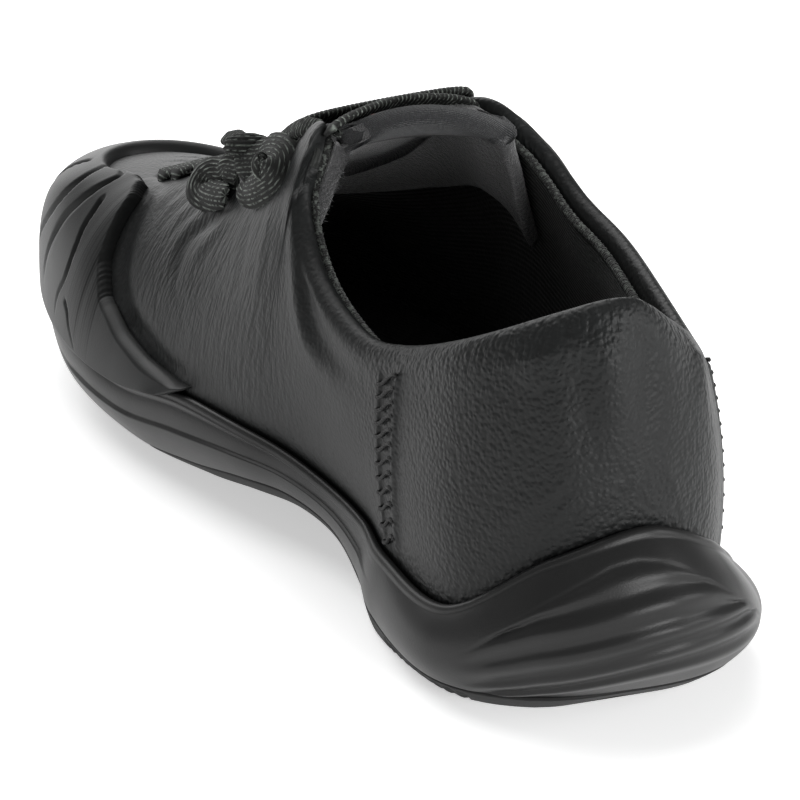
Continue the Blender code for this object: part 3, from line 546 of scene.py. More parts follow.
def band(name, path, normals, widths, crown=0.0, lengthwise=False, rib_depth=0.16, sides=24):
    """A flat knitted lace along a path, with rounded edges, closed ends and ribs; sizes in mm."""
    sizes = bpy.context.scene.sneaker_sizes
    along = unit(np.gradient(path, axis=0))
    normals = unit(normals - (normals * along).sum(axis=1)[:, None] * along)
    across = np.cross(along, normals)
    turn = np.linspace(0, 2 * np.pi, sides + 1)
    flat_side = np.sign(np.cos(turn)) * np.abs(np.cos(turn)) ** 0.55
    rise = np.sign(np.sin(turn)) * np.abs(np.sin(turn)) ** 0.8
    walked = walk(path)
    half = np.asarray(widths)[:, None] / 2
    side_mm = half * flat_side[None, :]
    phase = (side_mm if lengthwise else walked[:, None] + 0 * side_mm) / sizes.lace_rib
    ribs = rib_depth * np.abs(np.sin(np.pi * phase)) - rib_depth
    height = sizes.lace_thick / 2 * rise[None, :] + ribs * np.sign(rise)[None, :]
    height = height - crown * (side_mm / half.max()) ** 2
    points = path[:, None] + across[:, None] * side_mm[:, :, None] + normals[:, None] * height[:, :, None]
    points[0], points[-1] = path[0], path[-1]
    # The lower face reads its pattern further along, clear of the upper one.
    uv = spread(walked[:, None], np.where(rise[None, :] >= 0, 0.0, 40.0) + side_mm)
    if lengthwise:
        uv = uv[:, :, ::-1]
    return grid_piece(name, points, "knitted_lace", uv, join_rows=True)


def tube_points(path, radius, sides=8):
    """Rings of a round tube along a path, closed at both ends."""
    path = np.asarray(path, float)
    along = unit(np.gradient(path, axis=0))
    # A little off upright, so that an upright tube has a side too
    side = unit(np.cross(along, UP + 0.013))
    top = np.cross(side, along)
    turn = np.linspace(0, 2 * np.pi, sides + 1)
    ring = np.cos(turn)[None, :, None] * side[:, None] + np.sin(turn)[None, :, None] * top[:, None]
    radius = np.broadcast_to(radius, (len(path),))[:, None, None]
    points = path[:, None] + ring * radius
    points[0], points[-1] = path[0], path[-1]
    return points


def round_tube(name, path, radius, finish_name, sides=8):
    """A closed round tube, for stitches, piping and cord."""
    turn = np.linspace(0, 1, sides + 1)
    uv = spread(walk(path)[:, None], 6.0 * np.max(radius) * turn[None, :])
    return grid_piece(name, tube_points(path, radius, sides), finish_name, uv, join_rows=True)


def fill(tree, node, inputs):
    """Sets a node's inputs by name or number; each takes a value or another node's socket."""
    for name, value in inputs.items():
        key = int(name[1:]) if name[1:].isdigit() else name.replace("_", " ")
        if isinstance(value, bpy.types.NodeSocket):
            tree.links.new(value, node.inputs[key])
        else:
            node.inputs[key].default_value = value


def add_node(tree, kind, settings=None, **inputs):
    """One shader node with its settings and inputs."""
    made = tree.nodes.new(kind)
    for name, value in (settings or {}).items():
        setattr(made, name, value)
    fill(tree, made, inputs)
    return made


def finish_named(name):
    """A new material, its node tree and its shader."""
    made = bpy.data.materials.new(name)
    made.use_nodes = True
    return made, made.node_tree, made.node_tree.nodes["Principled BSDF"]


def rgba(value):
    return (*value, 1.0)


def drum_dyed_leather():
    """Full-grain leather, drum-dyed black: pebbled pores, fine pull wrinkles and a soft waxy sheen."""
    colours = bpy.context.scene.sneaker_colours
    made, tree, shader = finish_named("drum_dyed_leather")
    spot = add_node(tree, "ShaderNodeTexCoord")
    place, uv = spot.outputs["Object"], spot.outputs["UV"]
    warp = add_node(tree, "ShaderNodeTexNoise", Vector=place, Scale=260.0, Detail=2.0)
    bent = add_node(tree, "ShaderNodeMix", {"data_type": "VECTOR"}, _0=0.0012, _4=place,
                    _5=warp.outputs["Color"])
    # Pebbles of the grain, about 1.1 mm across
    pebble = add_node(tree, "ShaderNodeTexVoronoi", {"feature": "SMOOTH_F1"}, Vector=bent.outputs[1],
                      Scale=900.0, Smoothness=0.6)
    pore = add_node(tree, "ShaderNodeTexNoise", Vector=place, Scale=2200.0, Detail=3.0)
    # Pull wrinkles along the ribs, about 1.4 mm apart and 7 mm long; UV is in mm
    stretch = add_node(tree, "ShaderNodeMapping", Vector=uv, Scale=(0.7, 0.2, 1.0))
    pull = add_node(tree, "ShaderNodeTexNoise", Vector=stretch.outputs[0], Scale=1.0, Detail=1.5,
                    Roughness=0.45, Distortion=0.6)
    pulled = add_node(tree, "ShaderNodeMapRange", Value=pull.outputs["Fac"], From_Min=0.3, From_Max=0.7)
    mask = add_node(tree, "ShaderNodeAttribute", {"attribute_name": "pull"})
    pull_part = add_node(tree, "ShaderNodeMath", {"operation": "MULTIPLY"}, _0=pulled.outputs[0],
                         _1=mask.outputs["Fac"])
    grain_mask = add_node(tree, "ShaderNodeAttribute", {"attribute_name": "grain"})
    grain_part = add_node(tree, "ShaderNodeMath", {"operation": "MULTIPLY"}, _0=pebble.outputs["Distance"],
                          _1=grain_mask.outputs["Fac"])
    grain_bump = add_node(tree, "ShaderNodeBump", {"invert": True}, Strength=0.55, Distance=0.0005,
                          Height=grain_part.outputs[0])
    pore_bump = add_node(tree, "ShaderNodeBump", Strength=0.25, Distance=0.0002, Height=pore.outputs["Fac"],
                         Normal=grain_bump.outputs[0])
    pull_bump = add_node(tree, "ShaderNodeBump", Strength=0.3, Distance=0.0006, Height=pull_part.outputs[0],
                         Normal=pore_bump.outputs[0])
    patch = add_node(tree, "ShaderNodeTexNoise", Vector=place, Scale=60.0, Detail=3.0)
    worn = add_node(tree, "ShaderNodeMath", {"operation": "MULTIPLY"}, _0=patch.outputs["Fac"],
                    _1=pull_part.outputs[0])
    tone = add_node(tree, "ShaderNodeMix", {"data_type": "RGBA"}, _0=worn.outputs[0],
                    _6=rgba(colours.leather), _7=rgba(colours.leather_crest))
    gloss = add_node(tree, "ShaderNodeMapRange", Value=patch.outputs["Fac"], To_Min=0.40, To_Max=0.52)
    # The IOR is below leather's usual 1.5, to match the dull black of this one.
    fill(tree, shader, {"Base Color": tone.outputs[2], "Roughness": gloss.outputs[0],
                        "Normal": pull_bump.outputs[0], "IOR": 1.32})
    return made


def moulded_rubber(name, tone, rough):
    """Moulded rubber: satin from the mould, with a faint bloom and fine spark-eroded texture."""
    made, tree, shader = finish_named(name)
    place = add_node(tree, "ShaderNodeTexCoord").outputs["Object"]
    bloom = add_node(tree, "ShaderNodeTexNoise", Vector=place, Scale=45.0, Detail=4.0, Roughness=0.6)
    # Spark-eroded texture, about 0.35 mm
    fine = add_node(tree, "ShaderNodeTexNoise", Vector=place, Scale=2800.0, Detail=2.0)
    lighter = [min(1.0, 1.25 * part + 0.002) for part in tone]
    shade = add_node(tree, "ShaderNodeMix", {"data_type": "RGBA"}, _0=bloom.outputs["Fac"], _6=rgba(tone),
                     _7=rgba(lighter))
    gloss = add_node(tree, "ShaderNodeMapRange", Value=bloom.outputs["Fac"], To_Min=rough - 0.05,
                     To_Max=rough + 0.07)
    bump = add_node(tree, "ShaderNodeBump", Strength=0.2, Distance=0.0002, Height=fine.outputs["Fac"])
    # The IOR is below rubber's usual 1.5, to match the dull black of this one.
    fill(tree, shader, {"Base Color": shade.outputs[2], "Roughness": gloss.outputs[0],
                        "Normal": bump.outputs[0], "IOR": 1.34})
    return made


def knitted_lace():
    """Polyester lace, warp-knitted: matt near-black ground with light, broken ribs of stitches."""
    colours = bpy.context.scene.sneaker_colours
    made, tree, shader = finish_named("knitted_lace")
    uv = add_node(tree, "ShaderNodeTexCoord").outputs["UV"]
    # One rib per millimetre across, stitches about 2 mm long; UV is in mm
    scale = add_node(tree, "ShaderNodeMapping", Vector=uv, Scale=(1 / LACE_RIB, 0.5, 1.0))
    ribs = add_node(tree, "ShaderNodeTexWave", {"bands_direction": "X"}, Vector=scale.outputs[0], Scale=0.314,
                    Distortion=1.6, Detail=1.0, Detail_Scale=0.6)
    stitch = add_node(tree, "ShaderNodeTexNoise", Vector=scale.outputs[0], Scale=1.3, Detail=2.0)
    crest = add_node(tree, "ShaderNodeMapRange", Value=ribs.outputs["Fac"], From_Min=0.5, From_Max=0.95)
    broken = add_node(tree, "ShaderNodeMapRange", Value=stitch.outputs["Fac"], From_Min=0.42, From_Max=0.62)
    fleck = add_node(tree, "ShaderNodeMath", {"operation": "MULTIPLY"}, _0=crest.outputs[0],
                     _1=broken.outputs[0])
    tone = add_node(tree, "ShaderNodeMix", {"data_type": "RGBA"}, _0=fleck.outputs[0],
                    _6=rgba(colours.lace), _7=rgba(colours.lace_fleck))
    bump = add_node(tree, "ShaderNodeBump", Strength=1.0, Distance=0.0006, Height=fleck.outputs[0])
    fill(tree, shader, {"Base Color": tone.outputs[2], "Normal": bump.outputs[0], "Roughness": 0.85})
    return made


def brushed_fleece():
    """Polyester fleece, brushed: a fuzzy matt pile, with painted shade in its hollows."""
    colours = bpy.context.scene.sneaker_colours
    made, tree, shader = finish_named("brushed_fleece")
    place = add_node(tree, "ShaderNodeTexCoord").outputs["Object"]
    # Tufts of the pile, about 0.9 mm
    tuft = add_node(tree, "ShaderNodeTexNoise", Vector=place, Scale=1100.0, Detail=4.0, Roughness=0.7)
    # Painted shade: the pile's hollows, where the tufts are low, are darkened.
    painted_shade = [0.35 * part for part in colours.fleece]
    tone = add_node(tree, "ShaderNodeMix", {"data_type": "RGBA"}, _0=tuft.outputs["Fac"], _6=rgba(painted_shade),
                    _7=rgba(colours.fleece))
    bump = add_node(tree, "ShaderNodeBump", Strength=0.9, Distance=0.0008, Height=tuft.outputs["Fac"])
    fill(tree, shader, {"Base Color": tone.outputs[2], "Normal": bump.outputs[0], "Roughness": 0.95,
                        "Sheen Weight": 0.5, "Sheen Roughness": 0.6})
    return made


def ribbed_fabric(name, tone, thread_mm, flecks=None):
    """Woven or knitted polyester: fine ribs square to its length, matt, with a little sheen."""
    made, tree, shader = finish_named(name)
    uv = add_node(tree, "ShaderNodeTexCoord").outputs["UV"]
    scale = add_node(tree, "ShaderNodeMapping", Vector=uv, Scale=(1 / thread_mm, 1 / thread_mm, 1.0))
    ribs = add_node(tree, "ShaderNodeTexWave", {"bands_direction": "X"}, Vector=scale.outputs[0], Scale=0.314,
                    Distortion=1.2, Detail=1.0)
    cross = add_node(tree, "ShaderNodeTexVoronoi", Vector=scale.outputs[0], Scale=1.0, Randomness=0.6)
    tint = add_node(tree, "ShaderNodeSeparateColor", Color=cross.outputs["Color"])
    light = add_node(tree, "ShaderNodeMapRange", Value=tint.outputs[0], From_Min=0.5, From_Max=1.0)
    mixed = add_node(tree, "ShaderNodeMix", {"data_type": "RGBA"}, _0=light.outputs[0], _6=rgba(tone),
                     _7=rgba(flecks or [1.5 * part for part in tone]))
    rib_bump = add_node(tree, "ShaderNodeBump", Strength=0.6, Distance=0.0004, Height=ribs.outputs["Fac"])
    bump = add_node(tree, "ShaderNodeBump", {"invert": True}, Strength=0.5, Distance=0.0003,
                    Height=cross.outputs["Distance"], Normal=rib_bump.outputs[0])
    fill(tree, shader, {"Base Color": mixed.outputs[2], "Normal": bump.outputs[0], "Roughness": 0.85,
                        "Sheen Weight": 0.15})
    return made


def plain_thread(name, tone):
    """Bonded polyester thread or cord: matt, with a fine twist and painted shade in its grooves."""
    made, tree, shader = finish_named(name)
    uv = add_node(tree, "ShaderNodeTexCoord").outputs["UV"]
    twist = add_node(tree, "ShaderNodeTexWave", {"bands_direction": "DIAGONAL"}, Vector=uv, Scale=0.6)
    # Painted shade: the twist is darker where it is low.
    painted_shade = [0.6 * part for part in tone]
    mixed = add_node(tree, "ShaderNodeMix", {"data_type": "RGBA"}, _0=twist.outputs["Fac"], _6=rgba(painted_shade),
                     _7=rgba(tone))
    bump = add_node(tree, "ShaderNodeBump", Strength=0.4, Distance=0.0002, Height=twist.outputs["Fac"])
    fill(tree, shader, {"Base Color": mixed.outputs[2], "Normal": bump.outputs[0], "Roughness": 0.7})
    return made


def finish(name):
    """A finish by name, made on first use."""
    colours = bpy.context.scene.sneaker_colours
    made = bpy.data.materials.get(name)
    if made:
        return made
    single = {"drum_dyed_leather": drum_dyed_leather, "knitted_lace": knitted_lace,
              "brushed_fleece": brushed_fleece}
    if name in single:
        return single[name]()
    rubbers = {"cup_rubber": (colours.rubber, 0.34), "outsole_rubber": (colours.tread, 0.62),
               "bumper_rubber": (colours.cap, 0.44)}
    if name in rubbers:
        return moulded_rubber(name, *rubbers[name])
    fabrics = {"spacer_mesh": (colours.mesh, 1.1), "woven_tape": (colours.binding, 0.4),
               "foot_bed_cloth": (colours.foot_bed, 0.8),
               "knit_binding": (colours.lace, 0.6, [0.45 * part for part in colours.lace_fleck])}
    if name in fabrics:
        return ribbed_fabric(name, *fabrics[name])
    threads = {"seam_thread": colours.thread, "piping_cord": colours.piping}
    return plain_thread(name, threads[name])


# Camera of the photograph: angles in degrees, distance in mm, the rest in pixels of the image.
IMAGE_PX = 800
AZIMUTH, ELEVATION, ROLL = 244.3, 21.71, 0.51
AIM = np.array([110.0, 0.0, 41.0])
DISTANCE = 850.09
FOCAL_PX = 3852.06
CENTRE_PX = (422.17, 360.33)
SENSOR_MM = 36
SKY = 0.2
FLOOR_GLOW = 0.5
# Softboxes aimed at the shoe: name, place in m, size in m, brightness
LIGHTS = [
    ("backdrop_softbox", (2.2, -0.3, 0.75), 2.2, 1.9),
    ("top_softbox", (1.0, 0.1, 1.8), 2.2, 2.2),
    ("key_softbox", (0.9, 1.9, 0.9), 1.3, 0.15),
    ("rim_softbox", (-1.2, -1.7, 0.8), 1.0, 4.6),
    ("heel_softbox", (-1.6, -0.4, 0.35), 0.8, 9.0),
]


def camera_matrix():
    """Place and turn of the photograph's camera."""
    turn, rise, roll = (math.radians(a) for a in (AZIMUTH, ELEVATION, ROLL))
    back = np.array([math.sin(turn) * math.cos(rise), -math.cos(turn) * math.cos(rise), math.sin(rise)])
    right = unit(np.cross(-back, UP))
    up = np.cross(right, -back)
    right, up = right * math.cos(roll) + up * math.sin(roll), up * math.cos(roll) - right * math.sin(roll)
    place = (AIM + back * DISTANCE - ORIGIN) * MM
    made = Matrix.Identity(4)
    for column, axis in enumerate((right, up, back, place)):
        for row in range(3):
            made[row][column] = axis[row]
    return made


class SNEAKER_OT_stage(bpy.types.Operator):
    """Camera at the photograph's angle, pale floor and soft studio light"""

    bl_idname = "sneaker.stage"
    bl_label = "Stage"

    def execute(self, context):
        scene = context.scene
        bpy.ops.object.select_all(action="DESELECT")
        bpy.ops.object.camera_add()
        camera = context.object
        camera.name = "photo_camera"
        camera.matrix_world = camera_matrix()
        camera.data.sensor_width = SENSOR_MM
        camera.data.lens = FOCAL_PX / IMAGE_PX * SENSOR_MM
        camera.data.shift_x = (IMAGE_PX / 2 - CENTRE_PX[0]) / IMAGE_PX
        camera.data.shift_y = (CENTRE_PX[1] - IMAGE_PX / 2) / IMAGE_PX
        camera.data.clip_start = 0.01
        scene.camera = camera
        bpy.ops.mesh.primitive_plane_add(size=12)
        floor = context.object
        floor.name = "studio_floor"
        made, tree, shader = finish_named("studio_paper")
        fill(tree, shader, {"Base Color": rgba(scene.sneaker_colours.floor), "Roughness": 0.9,
                            "Emission Color": (1, 1, 1, 1), "Emission Strength": FLOOR_GLOW})
        floor.data.materials.append(made)
        for name, place, size, radiance in LIGHTS:
            turn = (-Vector(place)).to_track_quat("-Z", "Y").to_euler()
            bpy.ops.object.light_add(type="AREA", location=place, rotation=turn)
            light = context.object
            light.name = name
            light.data.size = size
            light.data.energy = radiance * math.pi * size**2
        world = scene.world or bpy.data.worlds.new("studio")
        scene.world = world
        world.use_nodes = True
        sky = world.node_tree.nodes["Background"]
        sky.inputs["Color"].default_value = (1, 1, 1, 1)
        sky.inputs["Strength"].default_value = SKY
        scene.view_settings.view_transform = "Standard"
        return {"FINISHED"}


# Way in which the bow's flat faces are turned: back, to the medial side and up.
BOW_FACE = np.array([-0.72, 0.55, 0.42])
BOW_LEVEL = np.array([-0.434, -0.901, 0.0])
# Width of the lace's tip and of its last run, from the knot on, mm
TIP_WIDTH = (5.6, 3.6)
LEAD_WIDTH = (9.0, 4.0)
# Half sizes of the knot across, along and off the bow, mm
KNOT_SIZE = (3.0, 6.4, 3.4)
# Loops of the bow: lace width, share by which the loop is drawn in, drop, shift, and the tuck of its start
# under the knot, in mm.
Loop = namedtuple("Loop", "name points width draw drop shift tuck node")
BOW_LOOPS = [
    Loop("bow_heel_loop", HEEL_LOOP, 11.0, 0.3, 1.0, (1.0, 0, 0), (2.7, 2.6, 0.8), "lace_heel_loop"),
    Loop("bow_toe_loop", TOE_LOOP, 8.4, 0.29, 0.0, (-8.0, 0, 1.2), (-2.0, -0.8, 0.6), "lace_toe_loop"),
]


def loop_path(loop):
    """Centreline of a loop: its points settled on the leather, drawn in, lowered, tucked and shifted."""
    rows = run_points(loop.points, 0.03)
    rows = rows[:: max(1, len(rows) // 160)]
    rows[:, 2] *= 0.75
    path = face_points(rows)
    path = path + loop.draw * (path.mean(axis=0) - path) - UP * loop.drop
    tucked = 1 - smooth_step(np.linspace(0, 1, len(path)), 0, 0.22)
    return run_points(path + tucked[:, None] * np.array(loop.tuck), 0.5) + np.array(loop.shift)


def bow_loop(loop, path):
    """One loop of the bow: a flat run of lace with its ribs along it, narrower towards its end."""
    share = np.linspace(0, 1, len(path))
    narrow = (1 - 0.25 * smooth_step(share, 0.6, 0.9)) * (0.5 + 0.5 * smooth_step(1 - share, 0, 0.12))
    normals = np.broadcast_to(BOW_FACE, path.shape)
    return band(loop.name, path, normals, loop.width * narrow, crown=2.6, lengthwise=True, rib_depth=0.3,
                sides=72)


class SNEAKER_OT_bow(bpy.types.Operator):
    """Knot and loops of the lace on the medial side"""

    bl_idname = "sneaker.bow"
    bl_label = "Lace bow"

    def execute(self, context):
        end = run_points(BOW_END, 0.02)
        end = run_points(face_points(end[:: max(1, len(end) // 60)]), 0.3)
        lead = run_points(face_points(LACE_LEAD), 0.3)
        end_normals = np.broadcast_to(face_normals([8.4], [0.93])[0, 0], end.shape)
        lead_normals = np.broadcast_to(face_normals([7.7], [0.97])[0, 0] + 0.4 * BOW_FACE, lead.shape)
        knot = joined("bow_knot", [
            bow_knot(),
            band("lace_tip", end, end_normals, np.linspace(*TIP_WIDTH, len(end))),
            band("lace_lead", lead, lead_normals, np.linspace(*LEAD_WIDTH, len(lead)), crown=0.8),
        ])
        put_on(knot, "knit_lace", "lace_knot", "lace_end")
        for loop, extra in zip(BOW_LOOPS, ([knot], [])):
            path = loop_path(loop)
            piece = put_on(bow_loop(loop, path), "knit_lace", loop.node)
        return {"FINISHED"}


def bow_knot():
    """The knot: a lump wrapped by the lace, with its ribs running round it."""
    along = BOW_LEVEL
    normal = unit(BOW_FACE - along * (BOW_FACE @ along))
    across = np.cross(normal, along)
    centre = face_points([KNOT_PLACE])[0]
    turn = np.linspace(0, 2 * np.pi, 97)
    polar = np.linspace(0, np.pi, 81)
    wavy = 9 * polar[:, None] + 0.5 * np.sin(3 * turn)[None, :]
    ribs = 1 - 0.07 * np.abs(np.sin(wavy))
    pinch = 1 - 0.1 * np.cos(2 * turn)[None, :] * np.sin(polar)[:, None]
    radius = ribs * pinch
    ring = np.sin(polar)[:, None]
    ball = [np.cos(polar)[:, None] + 0 * turn, ring * np.cos(turn), ring * np.sin(turn)]
    ball = [np.sign(part) * np.abs(part) ** 0.85 for part in ball]
    points = centre + sum(
        (size * radius * part)[:, :, None] * axis
        for size, part, axis in zip(KNOT_SIZE, ball, (across, along, normal))
    )
    uv = spread(wavy * LACE_RIB / np.pi, turn[None, :] * 6.0)
    return grid_piece("bow_knot", points, "knitted_lace", uv, join_rows=True)


def throat_section(near, far, covers, arch=THROAT_ARCH):
    """One section across the throat that carries on from the upper's flanks, and its shares of the gap."""
    far = RIB_COUNT - far
    medial, lateral = outer_face([near], covers)[0], outer_face([far], covers)[0]
    start, end = medial[-1], lateral[-1]
    handle = np.interp(near, *zip(*arch)) * np.linalg.norm(end - start)
    rise_in = start - handle * edge_direction([near])[0]
    rise_out = end - handle * edge_direction([far])[0]
    t = np.linspace(0, 1, BRIDGE_COUNT + 2)[1:-1, None]
    return np.concatenate([medial, bezier(start, rise_in, rise_out, end, t), lateral[::-1]]), t[:, 0]


def throat_run(sections):
    """The middle one of three sections across the throat, and the normals of the face through them."""
    normal = unit(np.cross(sections[2] - sections[0], np.gradient(sections[1], axis=0)))
    return sections[1], normal * np.sign(normal[len(normal) // 2, 2])


class SNEAKER_OT_lace_bars(bpy.types.Operator):
    """Flat runs of the lace over the throat, from eyelet to eyelet"""

    bl_idname = "sneaker.lace_bars"
    bl_label = "Lace bars"

    def execute(self, context):
        sizes = context.scene.sneaker_sizes
        for number, (near, far) in enumerate(LACE_BARS, start=1):
            covers = np.linspace(0.96, 1, 8)
            steps = (-0.12, 0, 0.12)
            line, normal = throat_run([throat_section(near + d, far + d, covers)[0] for d in steps])
            inside = soft_ends(np.linspace(0, 1, len(line)), 0, 0.16)
            line = line + normal * (-1.4 + (1.4 + 0.3 + sizes.lace_thick / 2) * inside)[:, None]
            both = run_points(np.concatenate([line, normal], axis=1), 0.3)
            wide = soft_ends(np.linspace(0, 1, len(both)), 0.02, 0.22)
            widths = sizes.lace_width * (0.45 + 0.55 * wide)
            piece = band(f"lace_run_{number}", both[:, :3], both[:, 3:], widths, crown=0.4)
            if number == len(LACE_BARS):
                piece = joined(piece.name, [piece, self.lower_run()])
            put_on(piece, "knit_lace", f"lace_bar_{number}")
        return {"FINISHED"}

    def lower_run(self):
        """The lace that crosses behind the top bar, close to the tongue's end."""
        covers = np.array([0.97, 1])
        places = (6.94, 7.06, 7.18)
        line, normal = throat_run([throat_section(near, near + 0.1, covers)[0] for near in places])
        sink = np.interp(np.linspace(0, 1, len(line)), [0, 0.1, 0.5, 1], [5.0, 4.0, 2.4, 4.0])
        both = run_points(np.concatenate([line - normal * sink[:, None], normal], axis=1), 0.3)
        return band("lace_lower_run", both[:, :3], both[:, 3:], np.full(len(both), 9.0), crown=0.6)


def upper_places():
    """Columns around the upper, closer together at the two heel seams."""
    side = np.arange(0, TOE, 1 / 15)
    side = side[np.abs(side - SEAM) > 6.6 / SEAM_PITCH]
    return both_sides(np.sort(np.concatenate([side, SEAM + np.arange(-6.4, 6.5, 0.4) / SEAM_PITCH])))


def seam_offset(places):
    """Distance from the nearer heel seam, in mm."""
    return (from_heel(places) - SEAM) * SEAM_PITCH


def leather_relief(places, covers, points):
    """Height of the leather's seams, padding and creases over the plain face, in mm."""
    sizes = bpy.context.scene.sneaker_sizes
    lip = place_of_height(places, read(SIDES, places)[:, 0:1])
    above = smooth_step(covers - lip, 0.015, 0.07)
    off = seam_offset(places)[:, None]
    relief = -sizes.seam_step * (1 - smooth_step(np.abs(off), sizes.seam_width - 0.7, sizes.seam_width))
    relief = relief + 0.8 * np.exp(-(((off + sizes.seam_width + 0.6) / 0.9) ** 2))
    relief = relief * above * (1 - smooth_step(covers, 0.9, 0.95))
    flat = points.reshape(-1, 3)
    for run, width, height in CREASES:
        line = face_points([(r, c, 0) for r, c in run_points(run, 0.05)])
        near = np.linalg.norm(flat - line.mean(axis=0), axis=1) < 60 + 3 * width
        gap, where = distance_to_run(flat[near], line)
        shape = height * np.exp(-((gap / width) ** 2)) * np.sin(np.pi * np.clip(where, 0.04, 0.96)) ** 0.7
        part = np.zeros(len(flat))
        part[near] = shape
        relief = relief + part.reshape(relief.shape) * above
    return relief


Rim = namedtuple("Rim", "start middle reach rise")
ROLL_TALL = 0.85
HEEL_ROLL_TALL = 1.4
ROLL_TURNS = np.linspace(0, np.pi, 13)[1:-1]


def rim_of(places):
    """Cover where the rolled rim starts, the middle of the roll, and its reach outward and upward."""
    wall = wall_thickness(places, [0.97])
    tall = HEEL_ROLL_TALL + (ROLL_TALL - HEEL_ROLL_TALL) * smooth_step(from_heel(places), 2.5, 4.5)[:, None]
    start = 1 - (tall * wall)[:, 0] / (3 * read(RIBS, places)[:, 9])
    outer = outer_face(places, start[:, None])[:, 0]
    inner = on_face(places, start[:, None], -wall)[:, 0]
    return Rim(start, (outer + inner) / 2, (outer - inner) / 2, -edge_direction(places) * tall * wall)


class SNEAKER_OT_upper(bpy.types.Operator):
    """Leather upper with its creases and rolled collar, its seams, lining and binding"""

    bl_idname = "sneaker.upper"
    bl_label = "Upper"

    def execute(self, context):
        sizes = context.scene.sneaker_sizes
        places = upper_places()
        rim = rim_of(places)
        shares = np.concatenate([np.linspace(0, 0.12, 5)[:-1], np.linspace(0.12, 1, 88)])
        covers = rim.start[:, None] * shares[None, :]
        plain = outer_face(places, covers)
        outer = plain + face_normals(places, covers) * leather_relief(places, covers, plain)[:, :, None]
        inside = rim.start[:, None] - np.linspace(0, 0.05, 6)[None, :]
        inner = on_face(places, inside, -wall_thickness(places, inside))
        below = np.array([0.9, 0.8, 0.6, 0.4, 0.2, 0.08, 0.0])
        back = on_face(places, below, np.full((len(places), len(below)), -sizes.leather))
        roll = [rim.middle + rim.reach * math.cos(a) + rim.rise * math.sin(a) for a in ROLL_TURNS]
        points = np.concatenate([outer, np.stack(roll, axis=1), inner, back, outer[:, :1]], axis=1)
        around = walk(plain[:, 40])
        uv = spread(around[:, None], mean_rise(points)[None, :])
        row_cover = np.concatenate([shares * 0.95, np.ones(len(roll)), inside[0], below, [0]])
        marks = {"pull": pull_mask(places, row_cover), "grain": grain_mask(places, row_cover)}
        upper = grid_piece("upper_leather", points, "drum_dyed_leather", uv, True, True, marks)
        put_on(upper, "leather", "upper")
        self.add_lining(places, around)
        self.add_binding()
        self.add_stitches()
        return {"FINISHED"}

    def add_lining(self, places, around):
        """Knitted mesh over the collar's foam, down to the foot bed."""
        sizes = bpy.context.scene.sneaker_sizes
        start = rim_of(places).start[:, None] - 0.004
        covers = start + (0.03 - start) * np.linspace(0, 1, 46)[None, :]
        inner = on_face(places, covers, -wall_thickness(places, covers) - 0.35)
        back = on_face(places, covers[:, ::-5], np.full(covers[:, ::-5].shape, -sizes.leather - 0.3))
        points = np.concatenate([inner, back, inner[:, :1]], axis=1)
        uv = spread(mean_rise(points)[None, :], around[:, None])
        put_on(grid_piece("collar_lining", points, "spacer_mesh", uv, True, True), "foot_bed")

    def add_binding(self):
        """Fine knitted cord where the leather roll meets the lining."""
        places = np.arange(-7.1, 7.11, 0.02) % RIB_COUNT
        rim = rim_of(places)
        half = np.linalg.norm(rim.reach, axis=1)[:, None]
        path = rim.middle - rim.reach * (1 + 1.1 / half) + 0.35 * rim.rise
        path = run_points(path[::4], 0.4)
        walked = np.linspace(0, len(path) * 0.4, len(path))
        radius = 0.95 + 0.09 * np.sin(2 * np.pi * walked / 1.5)
        radius[0] = radius[-1] = 0.3
        put_on(round_tube("collar_binding", path, radius, "knit_binding", sides=10), "knit_lace")

    def add_stitches(self):
        """Whip stitches across both heel seams, each one drawn out to a long S."""
        sizes = bpy.context.scene.sneaker_sizes
        half = sizes.seam_width / SEAM_PITCH
        # One stitch: side in half widths of the seam, height in steps of the seam, lift in mm
        stitch = [(-1.25, 0.42, 0.5), (-0.95, 0.5, 0.75), (-0.4, 0.32, 0.3), (0, 0, 0.25), (0.4, -0.32, 0.3),
                  (0.9, -0.46, 0.4), (1.15, -0.36, -0.1)]
        for name, sign in (("medial_seam_thread", 1), ("lateral_seam_thread", -1)):
            seam = SEAM * sign % RIB_COUNT
            lip = place_of_height([seam], read(SIDES, [seam])[:, 0:1])[0, 0] + 0.03
            tall = walk(outer_face([seam], np.linspace(lip, SEAM_TOP, 80))[0])[-1]
            count = int(tall / sizes.stitch_pitch)
            step = (SEAM_TOP - lip) / count
            stitches = []
            for k in range(count):
                rows = [(sign * (SEAM + side * half) % RIB_COUNT, lip + (k + 0.5 + high) * step, lift)
                        for side, high, lift in stitch]
                path = run_points(face_points(rows), 0.4)
                stitches.append(round_tube("stitch", path, 0.45, "seam_thread", sides=6))
            put_on(joined(name, stitches), "leather")


def pull_mask(places, covers):
    """Where the leather shows pull wrinkles, from 0 to 1."""
    ribs = np.asarray(places, float)[:, None] % RIB_COUNT
    cover = np.asarray(covers)[None, :]
    quarter = soft_span(ribs, 4.6, 6.6, 9.2, 9.9) * smooth_step(cover, 0.1, 0.2)
    lateral = soft_span(ribs, 16.2, 17.2, 19.4, 21.4)
    window = soft_span(ribs, 12.4, 13.2, 15.6, 16.4) * 0.7
    heel_far = soft_span(ribs, 23.2, 23.7, 25.1, 25.6) * (1 - smooth_step(cover, 0.7, 0.95))
    collar = 0.6 * (1 - smooth_step(from_heel(ribs), 2.4, 3.2)) * smooth_step(cover, 0.8, 0.92)
    return np.maximum.reduce(np.broadcast_arrays(quarter, lateral, window, heel_far, collar))


def grain_mask(places, covers):
    """Where the pebbled grain stands out, from 0 to 1."""
    ribs = np.asarray(places, float)[:, None] % RIB_COUNT
    heel = 1 - smooth_step(from_heel(ribs), 2.6, 4.2)
    return 0.35 + 0.65 * heel + 0 * np.asarray(covers)[None, :]


